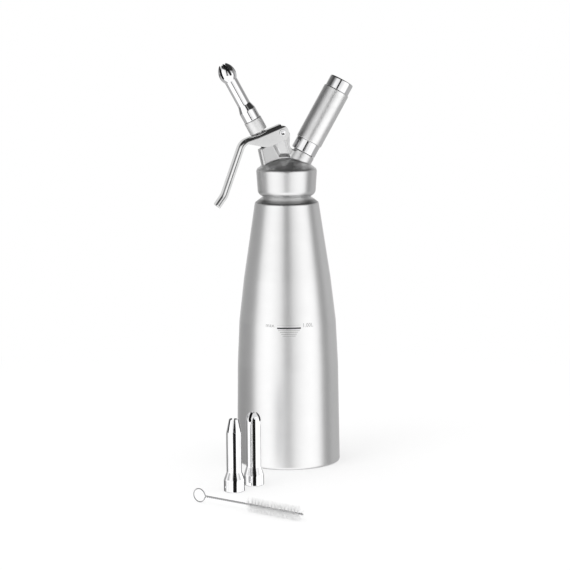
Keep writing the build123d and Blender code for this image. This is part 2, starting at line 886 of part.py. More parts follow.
def charger_holder():
    thread = stub_radius + thread_clearance
    inner = charger_radius + charger_clearance
    thread_top = stub_top + holder_gap
    cup = turned(
        (thread, holder_bottom),
        (holder_ring_radius, holder_bottom),
        (holder_ring_radius, sleeve_bottom),
        (holder_tube_radius, sleeve_bottom),
        (holder_tube_radius, cap_bottom),
        (holder_spigot_radius, cap_bottom),
        (holder_spigot_radius, cap_bottom + holder_spigot_length),
        (inner, cap_bottom + holder_spigot_length),
        (inner, thread_top),
        (thread, thread_top),
    )
    return charger_arm * fillet(circles_at(cup, holder_ring_radius, holder_bottom), holder_edge_round)


def holder_sleeve():
    inner = holder_tube_radius + press_clearance
    return charger_arm * turned(
        (inner, sleeve_bottom),
        (sleeve_radius - sleeve_chamfer, sleeve_bottom),
        (sleeve_radius, sleeve_bottom + sleeve_chamfer),
        (sleeve_radius, cap_bottom - sleeve_chamfer),
        (sleeve_radius - sleeve_chamfer, cap_bottom),
        (inner, cap_bottom),
    )


def holder_cap():
    spigot = holder_spigot_radius + press_clearance
    inner = charger_radius + charger_clearance
    spigot_top = cap_bottom + holder_spigot_length
    floor = charger_end + cushion_thickness
    cap = turned(
        (spigot, cap_bottom),
        (cap_radius, cap_bottom),
        (cap_radius, holder_end),
        (0, holder_end),
        (0, floor),
        (inner, floor),
        (inner, spigot_top),
        (spigot, spigot_top),
    )
    return charger_arm * fillet(circles_at(cap, cap_radius, holder_end), cap_edge_round)


def holder_cushion():
    outer = charger_radius + charger_clearance - press_clearance
    return charger_arm * rod(outer, charger_end, charger_end + cushion_thickness)


# The brush lies on the floor, along its own X from the middle of the loop
brush_axis_height = brush_loop_radius + brush_loop_wire
brush_place = Pos(brush_x, brush_y, brush_axis_height) * Rot(0, 0, brush_angle)
bristle_start = brush_loop_apex + brush_stem_length


def brush_wire():
    touch = math.acos(brush_loop_radius / brush_loop_apex)
    upper = (brush_loop_radius * math.cos(touch), 0, brush_loop_radius * math.sin(touch))
    lower = (upper[0], 0, -upper[2])
    apex = (brush_loop_apex, 0, 0)
    bow = ThreePointArc(upper, (-brush_loop_radius, 0, 0), lower)
    path = Wire([Line(apex, upper).edge(), bow.edge(), Line(lower, apex).edge()])
    start = Plane(origin=apex, x_dir=(0, 1, 0), z_dir=Vector(upper) - Vector(apex))
    loop = sweep(start * Circle(brush_loop_wire), path)
    root = brush_loop_apex - 2 * brush_loop_wire
    stem = Pos(root, 0, 0) * Rot(0, 90, 0) * rod(brush_stem_radius, 0, bristle_start - root)
    return brush_place * (loop + stem)


def brush_bristles():
    """Strands set round a slice of the twisted wire, one after another in a spiral."""
    core = Pos(bristle_start, 0, 0) * Rot(0, 90, 0) * rod(brush_stem_radius, 0, bristle_zone + brush_tip)
    root = brush_stem_radius / 2
    strand = Pos(0, 0, (root + bristle_reach) / 2) * Box(bristle_width, bristle_width, bristle_reach - root)
    strands = []
    for i in range(bristle_count):
        along = bristle_start + bristle_width + i * (bristle_zone - bristle_width) / bristle_count
        strands.append(Pos(along, 0, 0) * Rot(i * bristle_turn, 0, 0) * strand)
    return brush_place * core.solid().fuse(*[s.solid() for s in strands])


pieces = {
    "bottle_shell": bottle_shell,
    "head_body": head_body,
    "head_gasket": head_gasket,
    "stem_guide": stem_guide,
    "stem_oring": stem_oring,
    "return_spring": return_spring,
    "pivot_pin": pivot_pin,
    "check_valve": check_valve,
    "piercing_pin": piercing_pin,
    "charger_seal": charger_seal,
    "lever": lever,
    "valve_stem": valve_stem,
    "valve_seal": valve_seal,
    "spring_cap": spring_cap,
    "nozzle_adapter": nozzle_adapter,
    "adapter_seal": adapter_seal,
    "tulip_nozzle": tulip_nozzle,
    "tulip_insert": tulip_insert,
    "charger_holder": charger_holder,
    "holder_sleeve": holder_sleeve,
    "holder_cap": holder_cap,
    "holder_cushion": holder_cushion,
    "gas_charger": gas_charger,
    "straight_nozzle": straight_nozzle,
    "straight_insert": straight_insert,
    "star_nozzle": star_nozzle,
    "star_insert": star_insert,
    "brush_wire": brush_wire,
    "brush_bristles": brush_bristles,
}


def main():
    os.makedirs("parts", exist_ok=True)
    for name, make in pieces.items():
        export_step(make(), os.path.join("parts", name + ".step"))


if __name__ == "__main__":
    main()
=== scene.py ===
import bpy
import bmesh
import math
import numpy as np
from mathutils import Matrix, Vector


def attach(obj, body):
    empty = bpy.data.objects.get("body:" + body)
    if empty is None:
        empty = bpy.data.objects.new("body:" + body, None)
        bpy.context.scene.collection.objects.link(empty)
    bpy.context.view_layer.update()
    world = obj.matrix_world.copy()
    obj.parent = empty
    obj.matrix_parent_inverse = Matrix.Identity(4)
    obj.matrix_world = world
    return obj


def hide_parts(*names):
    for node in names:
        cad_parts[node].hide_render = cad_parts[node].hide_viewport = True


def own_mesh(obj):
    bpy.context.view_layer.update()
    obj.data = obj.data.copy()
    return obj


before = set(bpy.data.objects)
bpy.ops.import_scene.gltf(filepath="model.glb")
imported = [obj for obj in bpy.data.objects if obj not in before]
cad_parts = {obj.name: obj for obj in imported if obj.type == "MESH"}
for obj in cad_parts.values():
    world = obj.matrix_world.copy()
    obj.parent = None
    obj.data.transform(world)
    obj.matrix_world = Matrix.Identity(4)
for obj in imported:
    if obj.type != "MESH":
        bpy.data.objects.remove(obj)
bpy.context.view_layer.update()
mm = 0.001                      # the pieces below are sized in millimetres
print("frame loaded,", len(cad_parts), "nodes")

# height where both axes meet, and their lean in degrees
arms = {"meet": 274.205, "nozzleTilt": 28.5, "chargerTilt": 29.5}


def armMatrix(tilt, side):
    lean = math.radians(tilt)
    c, s = math.cos(lean), math.sin(lean)
    return Matrix(((c, 0, side * s, 0), (0, 1, 0, 0), (-side * s, 0, c, arms["meet"]), (0, 0, 0, 1)))


upright = Matrix.Identity(4)
nozzleArm = armMatrix(arms["nozzleTilt"], -1)      # leans to -X, over the lever
chargerArm = armMatrix(arms["chargerTilt"], 1)     # leans to +X


def raised(height):
    return Matrix.Translation((0, 0, height))


def inMetres(place):
    out = place.copy()
    out.translation = place.translation * mm
    return out


def swung(p, w):
    return p.x * math.cos(w) - p.y * math.sin(w), p.x * math.sin(w) + p.y * math.cos(w)


def softLine(corners, closed=False, steps=5):
    # corners are (radius, height) or (radius, height, round); rounds become short arcs
    pts = [(c[0], c[1], c[2] if len(c) > 2 else 0.0) for c in corners]
    arcUnit = 1.2               # radians that get the number of steps asked for
    out = []
    n = len(pts)
    for i, (x, y, r) in enumerate(pts):
        if r <= 0 or (not closed and i in (0, n - 1)):
            out.append((x, y))
            continue
        here = Vector((x, y))
        a = (Vector(pts[i - 1][:2]) - here).normalized()
        b = (Vector(pts[(i + 1) % n][:2]) - here).normalized()
        half = math.acos(max(-1, min(1, a.dot(b)))) / 2
        reach = r / math.tan(half)
        mid = here + (a + b).normalized() * (r / math.sin(half))
        p, q = here + a * reach - mid, here + b * reach - mid
        turn = p.angle_signed(q)
        count = max(2, int(steps * abs(turn) / arcUnit) + 1)
        for k in range(count + 1):
            dx, dy = swung(p, -turn * k / count)
            out.append((mid.x + dx, mid.y + dy))
    return out


def heldLine(line, closed=False, hold=0.2, longest=6.0):
    # extra points near the ends of straight runs keep the shading of flats flat
    out = []
    n = len(line)
    for i in range(n if closed else n - 1):
        a, b = Vector(line[i]), Vector(line[(i + 1) % n])
        out.append(tuple(a))
        run = (b - a).length
        if run > 4 * hold:
            pieces = math.ceil(run / longest)
            cuts = [hold / run] + [k / pieces for k in range(1, pieces)] + [1 - hold / run]
            out += [tuple(a.lerp(b, t)) for t in cuts]
    if not closed:
        out.append(tuple(line[-1]))
    return out


def ringPoints(radius, count):
    turns = [2 * math.pi * k / count for k in range(count)]
    return [(radius * math.cos(w), radius * math.sin(w)) for w in turns]


def inScene(name, data):
    obj = bpy.data.objects.new(name, data)
    bpy.context.scene.collection.objects.link(obj)
    return obj


def evaluated(obj):
    deps = bpy.context.evaluated_depsgraph_get()
    deps.update()
    return bpy.data.meshes.new_from_object(obj.evaluated_get(deps))


def plain(obj):
    # evaluated modifiers become the object's own mesh
    mesh = evaluated(obj)
    obj.modifiers.clear()
    obj.data = mesh
    return obj


def smoothed(mesh, sharp):
    mesh.shade_smooth()
    mesh.set_sharp_from_angle(angle=math.radians(sharp))


def newPiece(name, verts, faces, sharp=38.0):
    mesh = bpy.data.meshes.new(name)
    mesh.from_pydata([tuple(v) for v in verts], [], faces)
    bm = bmesh.new()
    bm.from_mesh(mesh)
    bmesh.ops.remove_doubles(bm, verts=bm.verts, dist=1e-7)
    bmesh.ops.recalc_face_normals(bm, faces=bm.faces)
    bm.to_mesh(mesh)
    bm.free()
    smoothed(mesh, sharp)
    return inScene(name, mesh)


def spinPiece(name, line, place=upright, turns=96):
    # closed outline of (radius, height), turned about the arm's own axis
    onAxis = 1e-4
    n = len(line)
    verts, faces, index = [], [], []
    for r, z in line:
        if r < onAxis:
            index.append([len(verts)] * turns)
            verts.append(place @ Vector((0, 0, z)) * mm)
            continue
        index.append(list(range(len(verts), len(verts) + turns)))
        verts += [place @ Vector((x, y, z)) * mm for x, y in ringPoints(r, turns)]
    for i in range(n):
        a, b = index[i], index[(i + 1) % n]
        for k in range(turns):
            j = (k + 1) % turns
            quad = [a[k], a[j], b[j], b[k]]
            face = [v for m, v in enumerate(quad) if v not in quad[:m]]
            if len(face) > 2:
                faces.append(face)
    return newPiece(name, verts, faces)


def turnedPiece(name, corners, place=upright, turns=96):
    return spinPiece(name, heldLine(softLine(corners, True), True), place, turns)


def wallLine(outside, wall):
    # outline of a drawn sheet from its outer line, the wall lies on the axis side
    inner = []
    n = len(outside)
    for i in range(n):
        a = Vector(outside[max(i - 1, 0)])
        b = Vector(outside[min(i + 1, n - 1)])
        way = (b - a).normalized()
        p = Vector(outside[i]) + Vector((-way.y, way.x)) * wall
        inner.append((max(p.x, 0.0), p.y))
    return list(outside) + inner[::-1]


def prism(outline, low, high, place):
    # closed outline in a plane, pushed along the third axis; place maps (a, b, depth) to the frame
    n = len(outline)
    verts = [place(a, b, depth) * mm for depth in (low, high) for a, b in outline]
    faces = [list(range(n))[::-1], list(range(n, 2 * n))]
    faces += [[i, (i + 1) % n, n + (i + 1) % n, n + i] for i in range(n)]
    return verts, faces


def joinParts(parts):
    verts, faces = [], []
    for v, f in parts:
        base = len(verts)
        verts += v
        faces += [[base + i for i in face] for face in f]
    return verts, faces


def cutWith(obj, parts, name, bevel=0.0, sharp=35.0, crease=40.0):
    # boolean cut, then a fine broken edge, all made plain mesh
    cutter = newPiece(name, *joinParts(parts))
    cut = obj.modifiers.new("cut", "BOOLEAN")
    cut.object = cutter
    cut.operation = "DIFFERENCE"
    cut.solver = "EXACT"
    cut.use_self = True
    if bevel:
        edge = obj.modifiers.new("edge", "BEVEL")
        edge.width = bevel * mm
        edge.segments = 2
        edge.limit_method = "ANGLE"
        edge.angle_limit = math.radians(sharp)
        edge.harden_normals = False
    plain(obj)
    bpy.data.objects.remove(cutter)
    smoothed(obj.data, crease)


def finish(obj, mat, body, slot, *nodes):
    obj.data.materials.clear()
    obj.data.materials.append(mat)
    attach(obj, body)
    if nodes:
        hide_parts(*nodes)


def nodeTree(name):
    mat = bpy.data.materials.new(name)
    mat.use_nodes = True
    return mat, mat.node_tree, mat.node_tree.nodes["Principled BSDF"]


def newNode(tree, kind, values=None, **settings):
    # node with its plain settings and the values of its unlinked inputs
    node = tree.nodes.new(kind)
    for key, value in settings.items():
        setattr(node, key, value)
    for key, value in (values or {}).items():
        node.inputs[key].default_value = value
    return node


def link(tree, a, out, b, into):
    tree.links.new(a.outputs[out], b.inputs[into])


def linkAll(tree, rows):
    for row in rows:
        link(tree, *row)


def noiseFor(tree, scale, tilt=0.0, detail=3.0, rough=0.55):
    # noise on object coordinates, stretched, and turned so that its Z lies on the piece's axis
    coords = newNode(tree, "ShaderNodeTexCoord")
    turn = newNode(tree, "ShaderNodeMapping", {"Rotation": (0, math.radians(tilt), 0)})
    stretch = newNode(tree, "ShaderNodeMapping", {"Scale": scale})
    noise = newNode(tree, "ShaderNodeTexNoise", {"Scale": 1.0, "Detail": detail, "Roughness": rough})
    linkAll(tree, [(coords, "Object", turn, "Vector"), (turn, "Vector", stretch, "Vector"),
                   (stretch, "Vector", noise, "Vector")])
    return noise


noiseRange = (0.3, 0.7)         # where most of the noise lies


def spread(tree, source, low, high):
    ends = {"From Min": noiseRange[0], "From Max": noiseRange[1], "To Min": low, "To Max": high}
    ranged = newNode(tree, "ShaderNodeMapRange", ends)
    link(tree, source, "Fac", ranged, "Value")
    return ranged


def tones(tree, source, dark, light):
    ramp = newNode(tree, "ShaderNodeValToRGB")
    for stop, at, tone in zip(ramp.color_ramp.elements, noiseRange, (dark, light)):
        stop.position, stop.color = at, (*tone, 1)
    link(tree, source, "Fac", ramp, "Fac")
    return ramp


def bumped(tree, source, shader, strength, distance):
    bump = newNode(tree, "ShaderNodeBump", {"Strength": strength, "Distance": distance * mm})
    linkAll(tree, [(source, "Fac", bump, "Height"), (bump, "Normal", shader, "Normal")])


def steel(name, tone, rough, vary=0.05, lines=4200.0, along=45.0, tilt=0.0, bump=0.06, shade=0.05):
    # turned or brushed steel: fine lines round the axis, and slow clouds in the tone
    cloud, lineDepth = 70.0, 0.02
    mat, tree, shader = nodeTree(name)
    fine = noiseFor(tree, (along, along, lines), tilt)
    slow = noiseFor(tree, (cloud, cloud, cloud), tilt, 2.0)
    dark = tuple(c * (1 - shade) for c in tone)
    light = tuple(min(1.0, c * (1 + shade)) for c in tone)
    link(tree, tones(tree, slow, dark, light), "Color", shader, "Base Color")
    link(tree, spread(tree, fine, rough - vary, rough + vary), "Result", shader, "Roughness")
    shader.inputs["Metallic"].default_value = 1.0
    bumped(tree, fine, shader, bump, lineDepth)
    return mat


def moulded(name, dark, light, rough, grain=900.0, bump=0.15):
    # rubber or plastic: fine grain, slightly mottled
    vary, grainDepth = 0.08, 0.05
    mat, tree, shader = nodeTree(name)
    fine = noiseFor(tree, (grain, grain, grain), 0.0, 4.0)
    link(tree, tones(tree, fine, dark, light), "Color", shader, "Base Color")
    link(tree, spread(tree, fine, rough - vary, rough + vary), "Result", shader, "Roughness")
    bumped(tree, fine, shader, bump, grainDepth)
    return mat


def paintedShadeBand(mat, low, high, share):
    # the tone is taken down to a share of itself between two heights, with soft ends; the darker band is
    # painted shade
    tree = mat.node_tree
    shader = tree.nodes["Principled BSDF"]
    coords, split = newNode(tree, "ShaderNodeTexCoord"), newNode(tree, "ShaderNodeSeparateXYZ")
    ranged = newNode(tree, "ShaderNodeMapRange", {"From Min": low * mm, "From Max": high * mm})
    ramp = newNode(tree, "ShaderNodeValToRGB")
    mix = newNode(tree, "ShaderNodeMix", {0: 1.0}, data_type="RGBA", blend_type="MULTIPLY")
    levels = ((0.0, 1.0), (0.1, share), (0.6, share), (1.0, 1.0))
    stops = ramp.color_ramp.elements
    for at, _ in levels[1:-1]:
        stops.new(at)
    for stop, (at, tone) in zip(stops, levels):
        stop.position, stop.color = at, (tone, tone, tone, 1)
    tree.links.new(shader.inputs["Base Color"].links[0].from_socket, mix.inputs[6])
    linkAll(tree, [(coords, "Object", split, "Vector"), (split, "Z", ranged, "Value"),
                   (ranged, "Result", ramp, "Fac"), (ramp, "Color", mix, 7), (mix, 2, shader, "Base Color")])


def grey(level, blue=0.0):
    return (level, level, level + blue)


toNozzle, toCharger = arms["nozzleTilt"], -arms["chargerTilt"]
satinBottle = steel("satinBottleSteel", grey(0.86), 0.35, 0.025, lines=5200.0, along=30.0, bump=0.03,
                    shade=0.012)
# painted shade and painted dark reflection on the neck's flare, just under the head's collar
paintedShadeBand(satinBottle, low=254.6, high=259.4, share=0.5)
satinHead = steel("satinHeadSteel", grey(0.80), 0.34, 0.03, bump=0.03, shade=0.015)
# a darker copy of the head's steel: painted shade on the web's flat faces and the block
shadedWebSteel = steel("shadedWebFaceSteel", grey(0.64), 0.34, 0.03, lines=900.0, along=900.0, bump=0.03,
                    shade=0.015)
pressedSheet = steel("pressedLeverSheet", grey(0.75), 0.13, 0.04, lines=260.0, along=260.0, bump=0.03)
brushedSleeve = steel("brushedSleeveSteel", grey(0.88), 0.36, 0.05, tilt=toCharger, bump=0.08)
brushedAdapter = steel("brushedAdapterSteel", grey(0.86), 0.52, 0.03, lines=3800.0, along=60.0, tilt=toNozzle,
                       bump=0.03)
mirrorNozzle = steel("mirrorNozzleSteel", grey(0.90, 0.01), 0.06, 0.02, lines=1200.0, along=120.0,
                     tilt=toNozzle, bump=0.012)
mirrorSpare = steel("mirrorSpareSteel", grey(0.90, 0.01), 0.06, 0.02, lines=1200.0, along=120.0, bump=0.012)
mirrorHolder = steel("mirrorHolderSteel", grey(0.88, 0.01), 0.07, 0.02, lines=1800.0, along=80.0,
                     tilt=toCharger, bump=0.015)
# dull steel for the nozzles' hollows and slots; its dark tone is painted shade
insideShadeSteel = steel("nozzleInsideShade", grey(0.16, 0.005), 0.42, 0.08, lines=900.0, along=900.0, bump=0.05)
mirrorPin = steel("mirrorPinSteel", grey(0.85, 0.01), 0.10, 0.03, lines=900.0, along=900.0, bump=0.03)
plainSteel = steel("machinedSteel", grey(0.68, 0.01), 0.28, 0.08, lines=3000.0, along=300.0, bump=0.08)
wireSteel = steel("drawnWireSteel", grey(0.54, 0.01), 0.14, 0.04, lines=700.0, along=700.0, bump=0.05)
chargerSteel = steel("chargerZincSteel", (0.62, 0.63, 0.66), 0.34, 0.08, lines=500.0, along=500.0,
                     tilt=toCharger)
darkRubber = moulded("darkSealRubber", grey(0.035, 0.001), grey(0.07, 0.002), 0.62)
guidePlastic = moulded("paleGuidePlastic", (0.76, 0.76, 0.73), (0.84, 0.84, 0.82), 0.45)
bristleWhite = moulded("whiteBristle", grey(0.78), grey(0.88), 0.40, grain=400.0, bump=0.05)
etchedMark = moulded("etchedFillMark", grey(0.020, 0.001), grey(0.040, 0.002), 0.50, grain=1500.0, bump=0.05)
faintMark = moulded("faintFillMark", grey(0.30), grey(0.36), 0.50, grain=1500.0, bump=0.05)
print("finishes made")


def newTree(name, sizes):
    # node group with a geometry socket each way and named inputs
    tree = bpy.data.node_groups.new(name, "GeometryNodeTree")
    rows = [("Geometry", "INPUT", "Geometry"), ("Geometry", "OUTPUT", "Geometry")]
    for label, way, kind in rows + [(label, "INPUT", kind) for label, kind in sizes]:
        tree.interface.new_socket(label, in_out=way, socket_type="NodeSocket" + kind)
    return tree


def coilTree():
    tree = newTree("coilTree", [("Coil Radius", "Float"), ("Height", "Float"), ("Turns", "Float"),
                                ("Wire Radius", "Float"), ("Steps", "Int"), ("Sides", "Int"),
                                ("Finish", "Material")])
    make = tree.nodes.new
    given, result = make("NodeGroupInput"), make("NodeGroupOutput")
    spiral, ring = make("GeometryNodeCurveSpiral"), make("GeometryNodeCurvePrimitiveCircle")
    tube, smooth = make("GeometryNodeCurveToMesh"), make("GeometryNodeSetShadeSmooth")
    real, paint = make("GeometryNodeRealizeInstances"), make("GeometryNodeSetMaterial")
    tube.inputs["Fill Caps"].default_value = True
    linkAll(tree, [
        (given, "Steps", spiral, "Resolution"), (given, "Turns", spiral, "Rotations"),
        (given, "Coil Radius", spiral, "Start Radius"), (given, "Coil Radius", spiral, "End Radius"),
        (given, "Height", spiral, "Height"),
        (given, "Wire Radius", ring, "Radius"), (given, "Sides", ring, "Resolution"),
        (spiral, "Curve", tube, "Curve"), (ring, "Curve", tube, "Profile Curve"),
        (tube, "Mesh", smooth, "Geometry"), (smooth, "Geometry", real, "Geometry"),
        (real, "Geometry", paint, "Geometry"), (given, "Finish", paint, "Material"),
        (paint, "Geometry", result, "Geometry"),
    ])
    return tree


coils = coilTree()


def treePiece(name, tree, values):
    # object with one tree, its inputs set by identifier, then made plain mesh
    obj = inScene(name, bpy.data.meshes.new(name))
    mod = obj.modifiers.new("make", "NODES")
    mod.node_group = tree
    for item in tree.interface.items_tree:
        if item.in_out == "INPUT" and item.name in values:
            mod[item.identifier] = values[item.name]
    return plain(obj)


def coilPiece(name, coil, place, mat):
    obj = treePiece(name, coils, {
        "Coil Radius": coil["radius"] * mm, "Height": coil["height"] * mm, "Turns": float(coil["turns"]),
        "Wire Radius": coil["wire"] * mm, "Steps": coil["steps"], "Sides": coil.get("sides", 10),
        "Finish": mat})
    obj.data.transform(inMetres(place) @ raised(coil["from"] * mm))
    return obj


bottle = {
    "wall": 1.0, "turns": 192,
    "line": [(0, 3.0), (35.0, 3.0, 1.5), (38.0, 0, 1.5), (50.449, 0, 2.5), (48.5, 139.564, 620.0),
             (31.0, 254.6, 2.6), (22.5, 261.005, 6.0), (22.5, 282.705)],
    "thread": {"radius": 22.15, "height": 11.5, "turns": 2.6, "wire": 0.72, "from": 268.0, "steps": 72},
}


def makeBottle():
    line = softLine(bottle["line"], steps=9)
    outside = heldLine(line, hold=0.4, longest=3.0)
    shell = spinPiece("bottleShell", wallLine(outside, bottle["wall"]), turns=bottle["turns"])
    finish(shell, satinBottle, "bottle", "bottle_steel", "bottle_shell")
    thread = coilPiece("bottleThread", bottle["thread"], upright, satinBottle)
    finish(thread, satinBottle, "bottle", "bottle_steel")
    return line


bottleLine = makeBottle()
print("bottle done")


fillMark = {
    "facing": -98.5, "height": 137.9, "lift": 0.04, "sink": 0.02,
    "bar": (23.0, 0.0, 1.4),                        # width, height from the fill line, thickness
    "lines": [(23.0, 2.9, 0.13), (21.0, -2.1, 0.36), (17.2, -3.8, 0.42), (14.8, -5.7, 0.42),
              (12.4, -7.5, 0.42)],
    "words": [("max.", -18.2, 0.9, 5.2), ("1.00L", 18.7, 0.8, 5.2)],
    "letterHalf": 0.03, "letterLift": 0.01, "stripStep": 0.8,
}


def bottleRadius(z):
    foot = 4                    # the first points lie on the raised floor
    radii, heights = zip(*bottleLine[foot:])
    return float(np.interp(z, heights, radii))


def onBottle(across, up, lift):
    z = fillMark["height"] + up
    r = bottleRadius(z)
    w = math.radians(fillMark["facing"]) + across / r
    r += lift
    return Vector((r * math.cos(w), r * math.sin(w), z)) * mm


def markStrip(width, up, thick):
    # a thin raised bar, bent round the bottle
    n = max(8, int(width / fillMark["stripStep"]))
    verts = []
    for lift in (-fillMark["sink"], fillMark["lift"]):
        for v in (-thick / 2, thick / 2):
            verts += [onBottle(width * (k / n - 0.5), up + v, lift) for k in range(n + 1)]
    m = n + 1
    faces = []
    for k in range(n):
        for a, b in ((0, 1), (1, 3), (3, 2), (2, 0)):
            faces.append([a * m + k, a * m + k + 1, b * m + k + 1, b * m + k])
    faces += [[row * m + k for row in (0, 1, 3, 2)] for k in (0, n)]
    return verts, faces


def markWord(word, across, up, size):
    # letters as thin relief, laid on the bottle
    curve = bpy.data.curves.new("word", "FONT")
    curve.body = word
    curve.size = size
    curve.align_x = "CENTER"
    curve.extrude = fillMark["letterHalf"]
    curve.resolution_u = 3
    letters = inScene("word", curve)
    mesh = evaluated(letters)
    lift = fillMark["letterLift"]
    verts = [onBottle(across + v.co.x, up + v.co.y, v.co.z + lift) for v in mesh.vertices]
    faces = [list(p.vertices) for p in mesh.polygons]
    bpy.data.objects.remove(letters)
    return verts, faces


def makeFillMark():
    bar = newPiece("fillBar", *markStrip(*fillMark["bar"]))
    finish(bar, etchedMark, "bottle", "bottle_steel")
    parts = [markStrip(*line) for line in fillMark["lines"]]
    parts += [markWord(*word) for word in fillMark["words"]]
    finish(newPiece("fillLines", *joinParts(parts)), faintMark, "bottle", "bottle_steel")


makeFillMark()
print("fill mark done")


head = {
    "step": 0.5, "low": (-31, -31, 261), "high": (31, 31, 331.5),           # cells and box of the casting
    "bottom": 261.405, "top": 286.705, "footRadius": 24.6, "sideRadius": 28.0, "topRadius": 29.494,
    "chamfer": 2.2, "skirtEdge": 2.4, "footEdge": 0.3, "domeHeight": 11.1, "edge": 1.4,
    "threadRadius": 22.8, "leadIn": 1.2, "gasketSeat": 285.705, "cavityRadius": 17.5, "cavityTop": 288.705,
    "webHalf": 7.0, "webEdge": 0.8, "webFoot": 1.4, "endDraft": 12.3, "endEdge": 3.5,
    "blockTop": 41.0, "blockHalf": 9.0, "bossRadius": 12.3, "bossTop": 32.8, "bossEdge": 0.6, "bossFoot": 1.4,
    "shelf": 30.4, "scoop": 8.0, "scoopRound": 2.0, "scoopEdge": 0.5,
    "stubRadius": 9.5, "stubTop": 44.0, "stubEdge": 0.6, "stubFoot": 0.5,
    "gasBores": [(5.0, 37.5), (2.8, 28.5)],                                 # radius, floor; open at the top
    "valveBores": [(8.0, 0.0, 20.0), (5.0, 0.0, 33.0), (6.3, 36.0, 48.0), (3.55, 27.0, 43.0)],
    "pinHole": 2.02, "boreEdge": 0.25,
    "thread": {"radius": 9.25, "height": 7.5, "turns": 5.0, "wire": 0.46, "from": 34.8, "steps": 48},
}
tower = {"back": 5.9, "wide": 13.4, "above": 5.9, "backRound": 5.8, "crown": (2.2, 3.5),
         "shoulder": (1.0, 2.0), "shelfInset": 0.567, "shelfRound": 5.0}
pocket = {"depth": 2.8, "slopes": (45.0, 75.0, 45.0, 38.0), "edge": 0.5, "corner": 0.35, "over": 0.3,
          "low": 299.305, "below": 5.9, "side": 4.2, "reach": 46.0, "rib": 5.4, "ribLean": 18.0}
# which faces of the casting take the painted shade of the darker copy
shadedFaces = {"facing": 0.97, "near": 0.3, "blockFrom": -9.0, "blockSlack": 0.05, "blockTilt": 0.8, "clear": 0.8}
pivot = (-5.0, 322.675)


def roundMax(a, b, r):
    return np.minimum(np.maximum(a, b), -r) + np.hypot(np.maximum(a + r, 0), np.maximum(b + r, 0))


def roundMin(a, b, r):
    return np.maximum(np.minimum(a, b), r) - np.hypot(np.maximum(r - a, 0), np.maximum(r - b, 0))


def outlineDistance(x, z, pts):
    # signed distance to a closed outline in the plane of the arms
    best, inside = np.inf, False
    for i, (ax, az) in enumerate(pts):
        bx, bz = pts[(i + 1) % len(pts)]
        ex, ez = bx - ax, bz - az
        wx, wz = x - ax, z - az
        t = np.clip((wx * ex + wz * ez) / (ex * ex + ez * ez), 0, 1)
        best = np.minimum(best, (wx - ex * t) ** 2 + (wz - ez * t) ** 2)
        inside = inside ^ (((az > z) != (bz > z)) & (wx < ex * wz / (ez if ez else 1e-9)))
    return np.where(inside, -1, 1) * np.sqrt(best)


def onArm(arm, along, across):
    p = arm @ Vector((across, 0, along))
    return (p.x, p.z)


def webOutline():
    h, t = head, tower
    left = onArm(nozzleArm, h["blockTop"], -h["blockHalf"])
    right = onArm(nozzleArm, h["blockTop"], h["blockHalf"])
    root = h["gasketSeat"]
    footX = left[0] + (left[1] - root) * math.tan(math.radians(h["endDraft"]))
    px, pz = pivot
    towerLeft, towerTop = px - t["back"], pz + t["above"]
    towerRight = towerLeft + t["wide"]
    across = (towerRight - t["shelfInset"] - h["shelf"] * chargerArm[0][2]) / chargerArm[0][0]
    shelf = onArm(chargerArm, h["shelf"], across)
    crown, crownRound = t["crown"]
    shoulder, shoulderRound = t["shoulder"]
    return softLine([(footX, root), left, right, (towerLeft, right[1]), (towerLeft, towerTop, t["backRound"]),
                     (px + crown, towerTop, crownRound), (towerRight, pz - shoulder, shoulderRound),
                     (*shelf, t["shelfRound"]), onArm(chargerArm, h["shelf"], 0), (h["bossRadius"], root)],
                    True, 8)


def pocketOutline():
    p = pocket
    low, high = p["low"], pivot[1] - p["below"]
    along = (low - nozzleArm[2][3] - p["side"] * nozzleArm[2][0]) / nozzleArm[2][2]
    ribX = pivot[0] - tower["back"] + tower["wide"] - p["rib"]
    ribFoot = ribX + (high - low) * math.tan(math.radians(p["ribLean"]))
    blockLow, blockHigh = onArm(nozzleArm, along, p["side"]), onArm(nozzleArm, p["reach"], p["side"])
    return [blockLow, (ribFoot, low), (ribX, high), blockHigh]


def pocketDistance(x, z, depth):
    # hollow in the web: each side has a wall of its own slope, the floor lies at one depth
    pts = pocketOutline()
    midX, midZ = (sum(p[k] for p in pts) / len(pts) for k in (0, 1))
    far = depth - pocket["depth"]
    for i, slope in enumerate(pocket["slopes"]):
        (ax, az), (bx, bz) = pts[i], pts[(i + 1) % len(pts)]
        run = math.hypot(bx - ax, bz - az)
        outX, outZ = (bz - az) / run, (ax - bx) / run
        if (midX - ax) * outX + (midZ - az) * outZ > 0:
            outX, outZ = -outX, -outZ
        lean = math.radians(slope)
        away = (x - ax) * outX + (z - az) * outZ
        far = roundMax(far, away * math.sin(lean) + depth * math.cos(lean), pocket["corner"])
    return far


def domeSphere():
    # radius of the dome and the height of its centre
    rise = head["domeHeight"]
    radius = (head["topRadius"] ** 2 + rise ** 2) / (2 * rise)
    return radius, head["top"] + rise - radius


